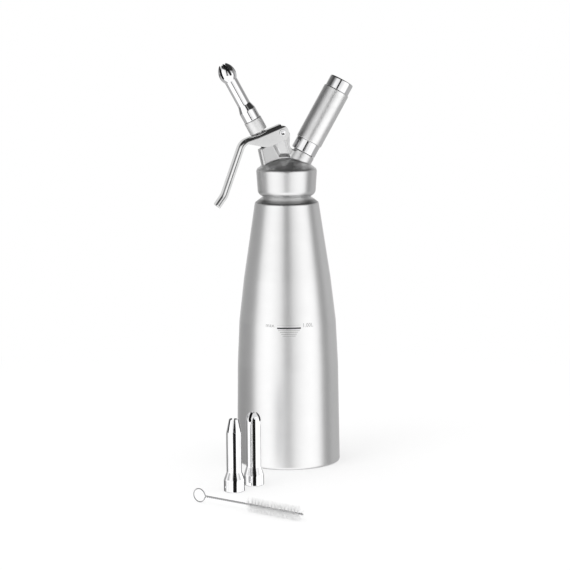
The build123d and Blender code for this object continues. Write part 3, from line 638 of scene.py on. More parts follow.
def headField():
    h = head
    web = webOutline()
    sphere, centre = domeSphere()
    draft = math.atan2(h["topRadius"] - h["sideRadius"], h["top"] - h["bottom"] - h["chamfer"])
    footStep = h["sideRadius"] - h["footRadius"]
    cut = math.hypot(footStep, h["chamfer"])
    cornerX, cornerZ = onArm(nozzleArm, h["blockTop"], -h["blockHalf"])
    endTurn = math.radians(h["endDraft"])
    toValve, toGas = nozzleArm.inverted(), chargerArm.inverted()

    def onAxis(m, x, y, z):
        # place across and along an arm, and distance from its axis
        across = m[0][0] * x + m[0][2] * z + m[0][3]
        along = m[2][0] * x + m[2][2] * z + m[2][3]
        return across, along, np.hypot(across, y)

    def skirt(x, y, z):
        r = np.hypot(x, y)
        dome = np.sqrt(x * x + y * y + (z - centre) ** 2) - sphere
        side = (r - h["sideRadius"] - (z - h["bottom"] - h["chamfer"]) * math.tan(draft)) * math.cos(draft)
        foot = ((r - h["footRadius"]) * h["chamfer"] - (z - h["bottom"]) * footStep) / cut
        body = roundMax(roundMax(dome, side, h["edge"]), foot, h["skirtEdge"])
        return roundMax(body, h["bottom"] - z, h["footEdge"])

    def plate(x, y, z):
        out = np.abs(y) - h["webHalf"]
        end = (cornerX - x) * math.cos(endTurn) + (cornerZ - z) * math.sin(endTurn)
        body = roundMax(outlineDistance(x, z, web), out, h["webEdge"])
        return np.maximum(body, roundMax(end, out, h["endEdge"]))

    def hollows(x, y, z):
        r = np.hypot(x, y)
        lead = r - h["threadRadius"] - np.maximum(h["bottom"] + h["leadIn"] - z, 0)
        out = np.minimum(np.maximum(lead, z - h["gasketSeat"]),
                         np.maximum(r - h["cavityRadius"], z - h["cavityTop"]))
        _, along, away = onAxis(toGas, x, y, z)
        for radius, low in h["gasBores"]:
            out = np.minimum(out, np.maximum(away - radius, low - along))
        _, along, away = onAxis(toValve, x, y, z)
        for radius, low, high in h["valveBores"]:
            out = np.minimum(out, np.maximum(away - radius, np.maximum(low - along, along - high)))
        return np.minimum(out, np.hypot(x - pivot[0], z - pivot[1]) - h["pinHole"])

    def field(x, y, z):
        depth = h["webHalf"] - np.abs(y)
        dent = np.maximum(pocketDistance(x, z, depth), -depth - pocket["over"])
        body = roundMin(skirt(x, y, z), plate(x, y, z), h["webFoot"])
        body = roundMax(body, -dent, pocket["edge"])
        across, along, away = onAxis(toGas, x, y, z)
        boss = roundMax(away - h["bossRadius"], along - h["bossTop"], h["bossEdge"])
        scoop = roundMax(across + h["scoop"], h["shelf"] - along, h["scoopRound"])
        body = roundMin(body, roundMax(boss, -scoop, h["scoopEdge"]), h["bossFoot"])
        stub = roundMax(away - h["stubRadius"], along - h["stubTop"], h["stubEdge"])
        body = roundMin(body, stub, h["stubFoot"])
        return roundMax(body, -hollows(x, y, z), h["boreEdge"])

    return field


def fieldSlope(field, p):
    e = 0.02
    ways = e * np.eye(3)
    return np.stack([(field(*(p + way).T) - field(*(p - way).T)) / (2 * e) for way in ways], 1)


def fieldPiece(name, field, low, high, step):
    # one vertex in each cell that the surface crosses, then pulled onto the surface
    axes = [np.arange(a, b + step, step) for a, b in zip(low, high)]
    f = field(axes[0][:, None, None], axes[1][None, :, None], axes[2][None, None, :])
    n = np.array(f.shape)
    cells = tuple(n - 1)
    total, count = np.zeros(cells + (3,)), np.zeros(cells)
    crossings = []
    for d in range(3):
        lo = [slice(None)] * 3
        hi = [slice(None)] * 3
        lo[d], hi[d] = slice(0, -1), slice(1, None)
        a, b = f[tuple(lo)], f[tuple(hi)]
        hit = (a < 0) != (b < 0)
        t = np.where(hit, a / np.where(hit, a - b, 1), 0)
        crossings.append((hit, a < 0))
        starts = [axes[k][:-1] if k == d else axes[k] for k in range(3)]
        where = np.stack(np.meshgrid(*starts, indexing="ij"), -1)
        where[..., d] += t * step
        others = [k for k in range(3) if k != d]
        for corner in ((0, 0), (0, 1), (1, 0), (1, 1)):
            pick = [slice(None)] * 3
            for k, shift in zip(others, corner):
                pick[k] = slice(shift, shift + cells[k])
            part = hit[tuple(pick)]
            total += np.where(part[..., None], where[tuple(pick)], 0)
            count += part
    used = count > 0
    number = np.full(cells, -1)
    number[used] = np.arange(used.sum())
    pts = total[used] / count[used][:, None]
    faces = []
    for (hit, below), (u, v) in zip(crossings, ((1, 2), (2, 0), (0, 1))):
        spots = np.argwhere(hit)
        inner = (spots[:, u] > 0) & (spots[:, v] > 0) & (spots[:, u] < n[u] - 1) & (spots[:, v] < n[v] - 1)
        spots = spots[inner]
        flip = below[tuple(spots.T)]
        quad = []
        for du, dv in ((-1, -1), (0, -1), (0, 0), (-1, 0)):
            c = spots.copy()
            c[:, u] += du
            c[:, v] += dv
            quad.append(number[tuple(c.T)])
        quad = np.stack(quad, 1)
        quad[~flip] = quad[~flip][:, ::-1]
        faces += quad.tolist()
    longest, leastSlope = 0.3 * step, 0.2      # longest pull, least squared slope to divide by
    for _ in range(3):
        g = fieldSlope(field, pts)
        pull = -field(*pts.T)[:, None] * g / np.maximum((g * g).sum(1), leastSlope)[:, None]
        pts = pts + np.clip(pull, -longest, longest)
    normals = fieldSlope(field, pts)
    normals /= np.maximum(np.linalg.norm(normals, axis=1), 1e-9)[:, None]
    mesh = bpy.data.meshes.new(name)
    mesh.from_pydata((pts * mm).tolist(), [], faces)
    mesh.shade_smooth()
    mesh.normals_split_custom_set_from_vertices(normals.tolist())
    return inScene(name, mesh)


def makeHead():
    cast = fieldPiece("headCasting", headField(), head["low"], head["high"], head["step"])
    finish(cast, satinHead, "head", "head_steel", "head_body")
    # the web's flat faces and the block take the darker copy, as painted shade
    cast.data.materials.append(shadedWebSteel)
    sphere, height = domeSphere()
    centre, half, m = Vector((0, 0, height)), head["webHalf"], shadedFaces
    for face in cast.data.polygons:
        at, way = face.center / mm, face.normal
        flat = abs(way.y) > m["facing"] and abs(abs(at.y) - half) < m["near"]
        block = at.x < m["blockFrom"] and abs(at.y) < half + m["blockSlack"] and way.z < m["blockTilt"]
        if (flat or block) and (at - centre).length > sphere + m["clear"]:
            face.material_index = 1
    thread = coilPiece("chargerThread", head["thread"], chargerArm, plainSteel)
    finish(thread, plainSteel, "head", "head_steel")


makeHead()
print("head done")


lever = {
    "slope": 21.7, "sheet": 1.5, "half": 9.0, "over": 7.93, "innerFold": 3.0, "flange": 5.4,
    "fold": (5.0, 3.6), "foldFrom": (26.0, 44.0),           # outer fold at two places along the sheet
    "bendAt": 40.6, "bend": 48.6, "bendRound": 14.0, "handle": 54.4,
    "flick": 16.0, "flickRound": 14.0, "tip": 12.2, "tipRound": 1.0,
    "cheek": [(36.3, 3.38), (19.0, -7.7, 12.0), (-6.0, -7.7, 7.6), (-6.0, 6.05, 4.4), (-1.5, 6.05)],
    "slot": (18.72, 10.6, 8.0), "slotFrom": 3.0, "hole": 2.05, "edge": 0.6,
    "cutHalf": 12.0, "notchBack": -9.0, "notchTop": 13.0,   # the cutters reach past the sheet
}


def leverPoint(s, q, y=0.0):
    lean = math.radians(lever["slope"])
    c, k = math.cos(lean), math.sin(lean)
    return Vector((pivot[0] - c * s - k * q, y, pivot[1] - k * s + c * q))


def leverStations():
    # outer line of the sheet as (s, q, heading), from the pivot end to the tip
    v = lever
    turn, back = math.radians(v["bend"]), math.radians(v["flick"])
    cut, cutBack = v["bendRound"] * math.tan(turn / 2), v["flickRound"] * math.tan(back / 2)
    end, _, endRound = v["cheek"][2]
    runSteps, bendSteps, handleSteps, flickSteps, tipSteps = 40, 18, 24, 8, 8
    bendFrom = v["bendAt"] - cut
    run = [end + endRound * (1 - math.cos(math.radians(a))) for a in range(0, 91, 9)]
    run += list(np.linspace(end + endRound, bendFrom, runSteps)[1:])
    out = [(s, v["over"], 0.0) for s in run]
    for k in range(1, bendSteps + 1):
        w = turn * k / bendSteps
        drop = v["bendRound"] * (1 - math.cos(w))
        out.append((bendFrom + v["bendRound"] * math.sin(w), v["over"] - drop, -w))

    def shares(count):
        return [k / count for k in range(1, count + 1)]

    def straight(length, w, parts):
        s, q, _ = out[-1]
        out.extend((s + length * k * math.cos(w), q - length * k * math.sin(w), -w) for k in parts)

    straight(v["handle"] - cut - cutBack, turn, shares(handleSteps))
    s, q, _ = out[-1]
    midS, midQ = s + v["flickRound"] * math.sin(turn), q + v["flickRound"] * math.cos(turn)
    for k in range(1, flickSteps + 1):
        w = turn - back * k / flickSteps
        out.append((midS - v["flickRound"] * math.sin(w), midQ - v["flickRound"] * math.cos(w), -w))
    length = v["tip"] - v["sheet"] - cutBack
    straight(length, turn - back, shares(tipSteps) + [1 + v["sheet"] / length])
    return out


def leverSection(depth, inset, along):
    # the folded section as (y, drop), outer line or the inner one set in by the sheet
    v = lever
    side, fold, hold = v["half"], v["innerFold"], 0.75      # hold keeps the flange flat up to there
    if not inset:
        fold = float(np.interp(along, v["foldFrom"], v["fold"]))
    half = [(-side + inset, -depth), (-side + inset, -depth + (depth - fold) * hold)]
    for a in np.linspace(0, math.pi / 2, 8):
        half.append((-side + fold - (fold - inset) * math.cos(a), -fold + (fold - inset) * math.sin(a)))
    half += [(-side + fold + (side - fold) * k / 4, -inset) for k in range(1, 4)]
    return half + [(0.0, -inset)] + [(-y, d) for y, d in reversed(half)]


def leverSheet(cheek):
    # closed sheet from rows of points outside and inside, and the row at the tip
    v = lever
    ahead = 5.0                 # from here on every point lies on the lower edge
    under = sorted(p for p in cheek if p[1] <= 0.0 or p[0] > ahead)
    lowS, lowQ = zip(*under)
    stations = leverStations()
    verts, outer, inner = [], [], []
    for rows, inset in ((outer, 0.0), (inner, v["sheet"])):
        for s, q, heading in stations[:-1] if inset else stations:
            depth = v["flange"]
            if heading == 0.0:
                depth = max(depth, v["over"] - float(np.interp(s, lowS, lowQ)))
            row = []
            for y, d in leverSection(depth, inset, s):
                row.append(len(verts))
                verts.append(leverPoint(s - d * math.sin(heading), q + d * math.cos(heading), y) * mm)
            rows.append(row)
    m, last = len(outer[0]), len(inner) - 1
    faces = []
    for a, b in zip(outer, outer[1:]):
        faces += [[a[k], a[k + 1], b[k + 1], b[k]] for k in range(m - 1)]
    for a, b in zip(inner, inner[1:]):
        faces += [[a[k], b[k], b[k + 1], a[k + 1]] for k in range(m - 1)]
    faces += [[outer[0][k], inner[0][k], inner[0][k + 1], outer[0][k + 1]] for k in range(m - 1)]
    for k in (0, m - 1):
        faces += [[outer[i][k], outer[i + 1][k], inner[i + 1][k], inner[i][k]] for i in range(last)]
    faces.append(list(inner[-1]))
    a, b, c = outer[last], outer[last + 1], inner[last]
    faces.append([a[0], b[0], b[-1], a[-1], c[-1], c[0]])
    faces.append(list(b))
    return verts, faces, [verts[i] for i in b]


def roundTip(obj, tipRow):
    # the closed end is rounded along its fold, not along its lower edge
    bm = bmesh.new()
    bm.from_mesh(obj.data)
    tipAt = sum(tipRow, Vector()) / len(tipRow)
    caps = [face for face in bm.faces if len(face.verts) > 6]
    cap = min(caps, key=lambda face: (face.calc_center_median() - tipAt).length)
    floorEdge = max(cap.edges, key=lambda e: e.calc_length())
    fold = [e for e in cap.edges if e != floorEdge]
    bmesh.ops.bevel(bm, geom=fold, offset=lever["tipRound"] * mm, segments=3, profile=0.5, affect="EDGES")
    bm.to_mesh(obj.data)
    bm.free()


def leverCuts(cheek):
    # the open end above the pivot, the valve's slot and the pin's hole
    v = lever
    wide, front = v["cutHalf"], v["cheek"][-1][0]
    above, slack = 0.5, 0.1     # the upper part of the cheek's end, with its last point
    notch = sorted((p for p in cheek if p[1] > above and p[0] < front + slack), key=lambda p: -p[0])
    notch += [(v["notchBack"], notch[-1][1]), (v["notchBack"], v["notchTop"]), (front, v["notchTop"])]
    mid, length, width = v["slot"]
    ends = []
    for k in range(13):
        w = math.pi * k / 12 - math.pi / 2
        ends.append((mid + (length - width) / 2 + width / 2 * math.cos(w), width / 2 * math.sin(w)))
    ends += [(2 * mid - a, -b) for a, b in ends]
    return [prism(notch, -wide, wide, leverPoint),
            prism(ends, v["slotFrom"], wide, lambda a, b, d: leverPoint(a, d, b)),
            prism(ringPoints(v["hole"], 32), -wide, wide, leverPoint)]


def makeLever():
    cheek = softLine(lever["cheek"], steps=10)
    verts, faces, tipRow = leverSheet(cheek)
    obj = newPiece("pressLever", verts, faces, sharp=60)
    roundTip(obj, tipRow)
    cutWith(obj, leverCuts(cheek), "leverCuts", lever["edge"])
    even = obj.modifiers.new("even", "WEIGHTED_NORMAL")
    even.keep_sharp = True
    plain(obj)
    finish(obj, pressedSheet, "lever", "lever_steel", "lever")


makeLever()
print("lever done")


pivotPin = {"shank": 2.0, "head": 3.2, "reach": 9.2, "thick": 0.9, "dish": 2.1, "dishFloor": 0.5, "sink": 1.2,
            "rounds": (0.3, 0.2, 0.35), "turns": 64}        # rounds of the dish floor, its rim and the head
valve = {
    "stem": 3.5, "bore": 2.0, "boreFrom": 22.0, "stemTop": 66.0, "tail": 2.2, "tailTop": 20.0,
    "plate": 5.5, "plateLow": 9.7, "plateTop": 11.2,
    "fit": 3.52, "cap": 6.2, "capTop": 52.65, "capThick": 4.0, "capHub": 4.2, "hubDrop": 6.0,
    "adapter": 8.8, "adapterBottom": 56.45, "adapterTop": 69.2, "adapterChamfer": 0.6,
    "spigot": 4.85, "spigotRise": 8.0, "seal": 6.37, "sealFit": 4.87, "sealThick": 1.2,
    "fine": 0.2, "edge": 0.3, "soft": 0.5, "lead": 0.6, "turns": 64,        # rounds from fine to wide
    "spring": {"radius": 5.0, "height": 11.05, "turns": 5.0, "wire": 0.6, "from": 36.8, "steps": 40,
               "sides": 12},
    "spigotThread": {"radius": 4.62, "height": 5.6, "turns": 5.5, "wire": 0.32, "from": 70.6, "steps": 40},
}


def makePin():
    v = pivotPin
    end = v["reach"] + v["thick"]
    inDish, dishRim, rim = v["rounds"]
    half = [(0, end - v["sink"]), (v["dishFloor"], end - v["sink"], inDish), (v["dish"], end, dishRim),
            (v["head"], end, rim), (v["head"], v["reach"]), (v["shank"], v["reach"])]
    line = half + [(c[0], -c[1], *c[2:]) for c in reversed(half)]
    place = Matrix.Translation((pivot[0], 0, pivot[1])) @ Matrix.Rotation(math.pi / 2, 4, "X")
    pin = turnedPiece("pivotPin", line, place, v["turns"])
    finish(pin, mirrorPin, "head", "polished_steel", "pivot_pin")


def makeStem():
    v = valve
    low, rim, top = v["plateLow"], v["plateTop"], v["stemTop"]
    stem = turnedPiece("valveStem", [
        (0, low), (v["plate"], low, v["edge"]), (v["plate"], rim, v["edge"]), (v["tail"], rim),
        (v["tail"], v["tailTop"]), (v["stem"], v["tailTop"], v["fine"]), (v["stem"], top), (v["bore"], top),
        (v["bore"], v["boreFrom"]), (0, v["boreFrom"])], nozzleArm, v["turns"])
    finish(stem, plainSteel, "valve", "inner_steel", "valve_stem")


def makeSpring():
    v = valve
    top = v["capTop"]
    under, hub = top - v["capThick"], top - v["hubDrop"]
    cap = turnedPiece("springCap", [
        (v["fit"], hub), (v["capHub"], hub, v["fine"]), (v["capHub"], under), (v["cap"], under, v["edge"]),
        (v["cap"], top, v["soft"]), (v["fit"], top)], nozzleArm, v["turns"])
    finish(cap, plainSteel, "valve", "inner_steel", "spring_cap")
    coil = v["spring"]
    spring = coilPiece("returnSpring", coil, nozzleArm, wireSteel)
    finish(spring, wireSteel, "head", "wire_steel", "return_spring")
    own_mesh(spring)


def makeAdapter():
    v = valve
    low, high, cut = v["adapterBottom"], v["adapterTop"], v["adapterChamfer"]
    end = high + v["spigotRise"]
    body = turnedPiece("nozzleAdapter", [
        (v["fit"], low), (v["adapter"] - cut, low, v["edge"]), (v["adapter"], low + cut, v["edge"]),
        (v["adapter"], high, v["soft"]), (v["spigot"], high), (v["spigot"], end, v["lead"]), (v["bore"], end),
        (v["bore"], v["stemTop"]), (v["fit"], v["stemTop"])], nozzleArm)
    finish(body, brushedAdapter, "valve", "satin_steel", "nozzle_adapter")
    thread = coilPiece("adapterThread", v["spigotThread"], nozzleArm, plainSteel)
    finish(thread, plainSteel, "valve", "satin_steel")
    top = high + v["sealThick"]
    seal = turnedPiece("adapterSeal", [
        (v["sealFit"], high), (v["seal"], high, v["edge"]), (v["seal"], top, v["edge"]), (v["sealFit"], top)],
        nozzleArm, v["turns"])
    finish(seal, darkRubber, "valve", "dark_rubber", "adapter_seal")


makePin()
makeStem()
makeSpring()
makeAdapter()
print("pin and valve done")


nozzles = {
    "tulip": {
        "place": nozzleArm @ raised(69.3), "base": (8.3, 10.3), "flare": 6.5, "stem": (6.3, 26.3),
        "tip": (3.8, 17.1), "belly": (8.4, 10.3),       # radius and length, radius and distance from the end
        "slots": 6, "slotDepth": 12.4, "slotTip": 3.2, "slotRoot": 2.2, "turn": 102.0,
        "bush": (7.38, 1.3, 7.0), "dimple": -94.0},
    "straight": {
        "place": Matrix.Translation((-72.95, -123.55, 0)), "base": (9.75, 11.0), "flare": 7.2,
        "stem": (7.1, 36.8), "tip": (4.4, 12.5),
        "slots": 6, "slotDepth": 12.5, "slotTip": 1.8, "slotRoot": 1.8, "turn": -90.5,
        "bush": (8.83, 1.2, 7.0), "dimple": -156.0},
    "star": {
        "place": Matrix.Translation((-51.0, -101.0, 0)), "base": (9.6, 9.5), "flare": 8.0,
        "stem": (7.0, 43.5), "tip": (3.2, 7.5),
        "slots": 4, "slotDepth": 8.2, "slotTip": 2.8, "slotRoot": 2.8, "turn": 52.0,
        "bush": (8.68, 1.2, 7.0), "dimple": -121.0},
}
nozzleShell = {"wall": 0.9, "turns": 120, "footIn": 0.35, "footRise": 0.5, "footRound": 0.6,
               "flareRound": 3.0, "slotEdge": 0.1, "slotSharp": 45.0}
bush = {"bore": 4.9, "edge": 0.2, "turns": 64}
staking = {"count": 3, "radius": 1.0, "out": 0.55, "height": 0.42}   # height is a share of the base
# which faces take the painted shade of the hollow and the slots
insideShadeFaces = {"offAxis": 0.5, "upright": 0.6, "outward": 0.45}


def tangentArc(start, end, heading, count=14):
    # arc that leaves start in the given heading and reaches end, as points after start
    a, b = Vector(start), Vector(end)
    h = Vector(heading).normalized()
    side = Vector((-h.y, h.x))
    chord = b - a
    r = chord.length_squared / (2 * chord.dot(side))
    mid = a + side * r
    p, q = a - mid, b - mid
    turn = -p.angle_signed(q)
    return [tuple(mid + Vector(swung(p, turn * k / count))) for k in range(1, count + 1)]


def nozzleOutside(kind, n):
    base, length = n["base"]
    stem, run = n["stem"]
    flareTop = length + n["flare"]
    end = flareTop + run
    v = nozzleShell
    line = heldLine(softLine([
        (base - v["footIn"], 0), (base, v["footRise"], v["footRound"]), (base, length, v["flareRound"]),
        (stem, flareTop, v["flareRound"]), (stem, end)], steps=8))
    radius, rise = n["tip"]
    tip = end + rise
    if kind == "tulip":
        belly, below = n["belly"]
        widest = (belly, tip - below)
        lower = tangentArc(widest, (stem, end), (0, -1))[::-1][1:]
        line += lower + [widest] + tangentArc(widest, (radius, tip), (0, 1))
    elif kind == "straight":
        line += [(stem + (radius - stem) * k / 10, end + rise * k / 10) for k in range(1, 11)]
    else:
        line += tangentArc((stem, end), (radius, tip), (0, 1))
    return line, tip


def slotShapes(n, tip):
    # one shape for each slot, from near the axis out through the wall, with a round root
    near, far, beyond = 0.4, 12.0, 0.25
    parts = []
    depth, wide, root = n["slotDepth"], n["slotTip"], n["slotRoot"]
    r = root / 2
    turns = [math.pi * k / 8 for k in range(9)]
    outline = [(-r * math.cos(w), tip - depth + r - r * math.sin(w)) for w in turns]
    over = wide / 2 + (wide - root) / 2 * beyond
    outline += [(over, tip + depth * beyond), (-over, tip + depth * beyond)]
    for i in range(n["slots"]):
        place = n["place"] @ Matrix.Rotation(math.radians(n["turn"] + 360 * i / n["slots"]), 4, "Z")
        parts.append(prism(outline, near, far, lambda a, b, d: place @ Vector((d, a, b))))
    return parts


def dimpleShapes(n):
    # staking marks near the foot
    parts = []
    base, length = n["base"]
    out = base + staking["out"]
    for i in range(staking["count"]):
        w = math.radians(n["dimple"] + 360 * i / staking["count"])
        mid = Vector((out * math.cos(w), out * math.sin(w), length * staking["height"]))
        place = n["place"] @ Matrix.Translation(mid)
        bm = bmesh.new()
        bmesh.ops.create_uvsphere(bm, u_segments=14, v_segments=9, radius=staking["radius"])
        ball = [place @ vert.co * mm for vert in bm.verts]
        parts.append((ball, [[vert.index for vert in face.verts] for face in bm.faces]))
        bm.free()
    return parts


def shadeNozzleInside(shell, at):
    # faces that look at the axis or stand in a slot get a dull finish whose dark tone is painted shade
    shell.data.materials.append(insideShadeSteel)
    home = at.inverted()
    for face in shell.data.polygons:
        mid, way = home @ (face.center / mm), home.to_3x3() @ face.normal
        out = mid.xy
        if out.length < insideShadeFaces["offAxis"] or abs(way.z) > insideShadeFaces["upright"]:
            continue
        if out.normalized().dot(way.xy) < insideShadeFaces["outward"]:
            face.material_index = 1


def makeNozzle(kind, mat, body):
    n, v = nozzles[kind], nozzleShell
    outside, tip = nozzleOutside(kind, n)
    shell = spinPiece(kind + "Nozzle", wallLine(outside, v["wall"]), n["place"], v["turns"])
    cutWith(shell, slotShapes(n, tip), kind + "Slots", v["slotEdge"], v["slotSharp"])
    cutWith(shell, dimpleShapes(n), kind + "Dimples")
    finish(shell, mat, body, "polished_steel", kind + "_nozzle")
    shadeNozzleInside(shell, n["place"])
    outer, low, length = n["bush"]
    top = low + length
    bore, edge = bush["bore"], bush["edge"]
    line = [(bore, low, edge), (outer, low, edge), (outer, top), (bore, top)]
    insert = turnedPiece(kind + "Bush", line, n["place"], bush["turns"])
    finish(insert, plainSteel, body, "inner_steel", kind + "_insert")


makeNozzle("tulip", mirrorNozzle, "nozzle")
makeNozzle("straight", mirrorSpare, "spare_straight")
makeNozzle("star", mirrorSpare, "spare_star")
print("nozzles done")


holder = {"bottom": 33.1, "sleeveLow": 44.7, "capLow": 101.3, "end": 112.4, "ring": 12.3, "tube": 11.3,
          "spigot": 10.8, "spigotRise": 5.0, "sleeve": 13.0, "chamfer": 0.7, "cap": 12.1, "capFloor": 108.1,
          "inner": 9.4, "stubBore": 9.8, "stubTop": 44.3, "fit": 0.02, "turns": 128,
          "edge": 0.25, "ringEdge": 0.5, "sleeveEdges": (0.2, 0.5), "capRound": 1.3}
charger = {"tip": 39.6, "length": 66.0, "wall": 1.6, "radius": 9.0, "neck": 4.3, "mouth": 1.8, "neckTop": 6.4,
           "shoulderTop": 15.4, "neckRound": 1.6, "shoulderRound": 5.0, "endRound": 6.0, "turns": 64}


def makeHolder():
    v = holder
    foot, low, lip = v["sleeveLow"], v["capLow"], v["capLow"] + v["spigotRise"]
    cup = turnedPiece("holderCup", [
        (v["stubBore"], v["bottom"]), (v["ring"], v["bottom"], v["ringEdge"]), (v["ring"], foot, v["edge"]),
        (v["tube"], foot), (v["tube"], low), (v["spigot"], low), (v["spigot"], lip), (v["inner"], lip),
        (v["inner"], v["stubTop"]), (v["stubBore"], v["stubTop"])], chargerArm, v["turns"])
    finish(cup, mirrorHolder, "holder", "polished_steel", "charger_holder")
    bore, outer, cut = v["tube"] + v["fit"], v["sleeve"], v["chamfer"]
    fine, soft = v["sleeveEdges"]
    sleeve = turnedPiece("holderSleeve", [
        (bore, foot), (outer - cut, foot, fine), (outer, foot + cut, soft), (outer, low - cut, soft),
        (outer - cut, low, fine), (bore, low)], chargerArm, v["turns"])
    finish(sleeve, brushedSleeve, "holder", "satin_steel", "holder_sleeve")
    bore, floor = v["spigot"] + v["fit"], v["capFloor"]
    cap = turnedPiece("holderCap", [
        (bore, low), (v["cap"], low, v["edge"]), (v["cap"], v["end"], v["capRound"]), (0, v["end"]),
        (0, floor), (v["inner"], floor), (v["inner"], lip), (bore, lip)], chargerArm, v["turns"])
    finish(cap, mirrorHolder, "holder", "polished_steel", "holder_cap")


def makeCharger():
    c = charger
    tip, end = c["tip"], c["tip"] + c["length"]
    outside = softLine([
        (c["mouth"], tip), (c["neck"], tip, c["neckRound"]), (c["neck"], tip + c["neckTop"], c["neckRound"]),
        (c["radius"], tip + c["shoulderTop"], c["shoulderRound"]), (c["radius"], end, c["endRound"]),
        (0, end)], steps=8)
    bulb = spinPiece("gasCharger", wallLine(heldLine(outside), c["wall"]), chargerArm, c["turns"])
    finish(bulb, chargerSteel, "holder", "charger_steel", "gas_charger")


makeHolder()
makeCharger()
print("charger holder done")


brush = {
    "angle": -49.2, "at": (-110.9, -162.3, 6.5), "loop": 6.0, "apex": 6.56, "stretch": 1.12,
    "wire": 0.46, "offset": 0.49, "twist": 4.8, "tip": 119.6,       # one turn of both strands in each twist
    "bristlesFrom": 58.1, "bristlesTo": 117.0, "endGap": 0.5,
    "bristle": {"count": 1700, "length": 6.9, "thick": 0.06, "tipShare": 0.75, "pitch": 7.4, "spread": 0.30,
                "lean": 0.14, "shortest": 0.93, "seed": 7},
}


def brushMatrix():
    return Matrix.Translation(brush["at"]) @ Matrix.Rotation(math.radians(brush["angle"]), 4, "Z")


def brushWirePoints():
    # one wire: twisted out from the tip, round the loop, and twisted back
    b = brush
    r = b["offset"]
    touch = math.acos(b["loop"] / b["apex"])
    start = b["apex"] * b["stretch"]
    run = b["tip"] - start
    perTurn, loopSteps = 14, 40
    steps = int(run / b["twist"] * perTurn)
    there, back = [], []
    for k in range(steps + 1):
        x = b["tip"] - run * k / steps
        w = 2 * math.pi * (x - start) / b["twist"]
        there.append((x, r * math.sin(w), r * math.cos(w)))
        back.append((x, -r * math.sin(w), -r * math.cos(w)))
    loop = []
    for k in range(loopSteps + 1):
        w = touch + (2 * math.pi - 2 * touch) * k / loopSteps
        loop.append((b["loop"] * b["stretch"] * math.cos(w), 0, b["loop"] * math.sin(w)))
    return there + loop + back[::-1]


def makeBrushWire():
    place = brushMatrix()
    curve = bpy.data.curves.new("brushWire", "CURVE")
    curve.dimensions = "3D"
    curve.bevel_depth = brush["wire"] * mm
    curve.bevel_resolution = 3
    curve.use_fill_caps = True
    pts = brushWirePoints()
    spline = curve.splines.new("POLY")
    spline.points.add(len(pts) - 1)
    for p, co in zip(spline.points, pts):
        p.co = (*(place @ Vector(co) * mm), 1)
    loose = inScene("loose", curve)
    mesh = evaluated(loose)
    bpy.data.objects.remove(loose)
    mesh.shade_smooth()
    wire = inScene("brushWire", mesh)
    finish(wire, wireSteel, "brush", "wire_steel", "brush_wire")


def bristleTree():
    b = brush["bristle"]
    tree = newTree("bristleTree", [("Count", "Int"), ("Run", "Float"), ("Length", "Float"),
                                   ("Thickness", "Float"), ("Pitch", "Float"), ("Spread", "Float"),
                                   ("Seed", "Int"), ("Finish", "Material")])

    def maths(operation, second=None):
        return newNode(tree, "ShaderNodeMath", {} if second is None else {1: second}, operation=operation)

    def draw(low, high):
        return newNode(tree, "FunctionNodeRandomValue", {2: low, 3: high})

    make = tree.nodes.new
    given, result = make("NodeGroupInput"), make("NodeGroupOutput")
    row, endPoint = newNode(tree, "GeometryNodeMeshLine", mode="END_POINTS"), make("ShaderNodeCombineXYZ")
    hair = newNode(tree, "GeometryNodeMeshCone", {"Vertices": 4, "Side Segments": 1})
    tipWidth = maths("MULTIPLY", b["tipShare"])
    place, real = make("GeometryNodeInstanceOnPoints"), make("GeometryNodeRealizeInstances")
    paint = make("GeometryNodeSetMaterial")
    where, split = make("GeometryNodeInputPosition"), make("ShaderNodeSeparateXYZ")
    number = make("GeometryNodeInputIndex")
    turns, whole, other = maths("DIVIDE"), maths("MULTIPLY", 2 * math.pi), maths("MULTIPLY", math.pi)
    both, jittered, low = maths("ADD"), maths("ADD"), maths("MULTIPLY", -1.0)
    jitter, lean, size = draw(0.0, 1.0), draw(-b["lean"], b["lean"]), draw(b["shortest"], 1.0)
    tilt, turn = make("ShaderNodeCombineXYZ"), make("ShaderNodeCombineXYZ")
    tilted, turned = make("FunctionNodeEulerToRotation"), make("FunctionNodeEulerToRotation")
    chain = make("FunctionNodeRotateRotation")
    linkAll(tree, [
        (given, "Count", row, "Count"), (given, "Run", endPoint, "X"), (endPoint, 0, row, "Offset"),
        (given, "Thickness", tipWidth, 0), (given, "Thickness", hair, "Radius Bottom"),
        (tipWidth, 0, hair, "Radius Top"), (given, "Length", hair, "Depth"),
        (where, "Position", split, "Vector"), (split, "X", turns, 0), (given, "Pitch", turns, 1),
        (turns, 0, whole, 0), (number, 0, other, 0), (whole, 0, both, 0), (other, 0, both, 1),
        (given, "Spread", jitter, 3), (given, "Spread", low, 0), (low, 0, jitter, 2),
        (given, "Seed", jitter, "Seed"), (given, "Seed", lean, "Seed"), (given, "Seed", size, "Seed"),
        (both, 0, jittered, 0), (jitter, 1, jittered, 1),
        # each hair leans a little along the wire, then turns about it
        (lean, 1, tilt, "Y"), (tilt, 0, tilted, 0), (jittered, 0, turn, "X"), (turn, 0, turned, 0),
        (tilted, 0, chain, 0), (turned, 0, chain, 1),
        (row, "Mesh", place, "Points"), (hair, "Mesh", place, "Instance"), (chain, 0, place, "Rotation"),
        (size, 1, place, "Scale"), (place, "Instances", real, "Geometry"),
        (real, "Geometry", paint, "Geometry"), (given, "Finish", paint, "Material"),
        (paint, "Geometry", result, "Geometry"),
    ])
    return tree


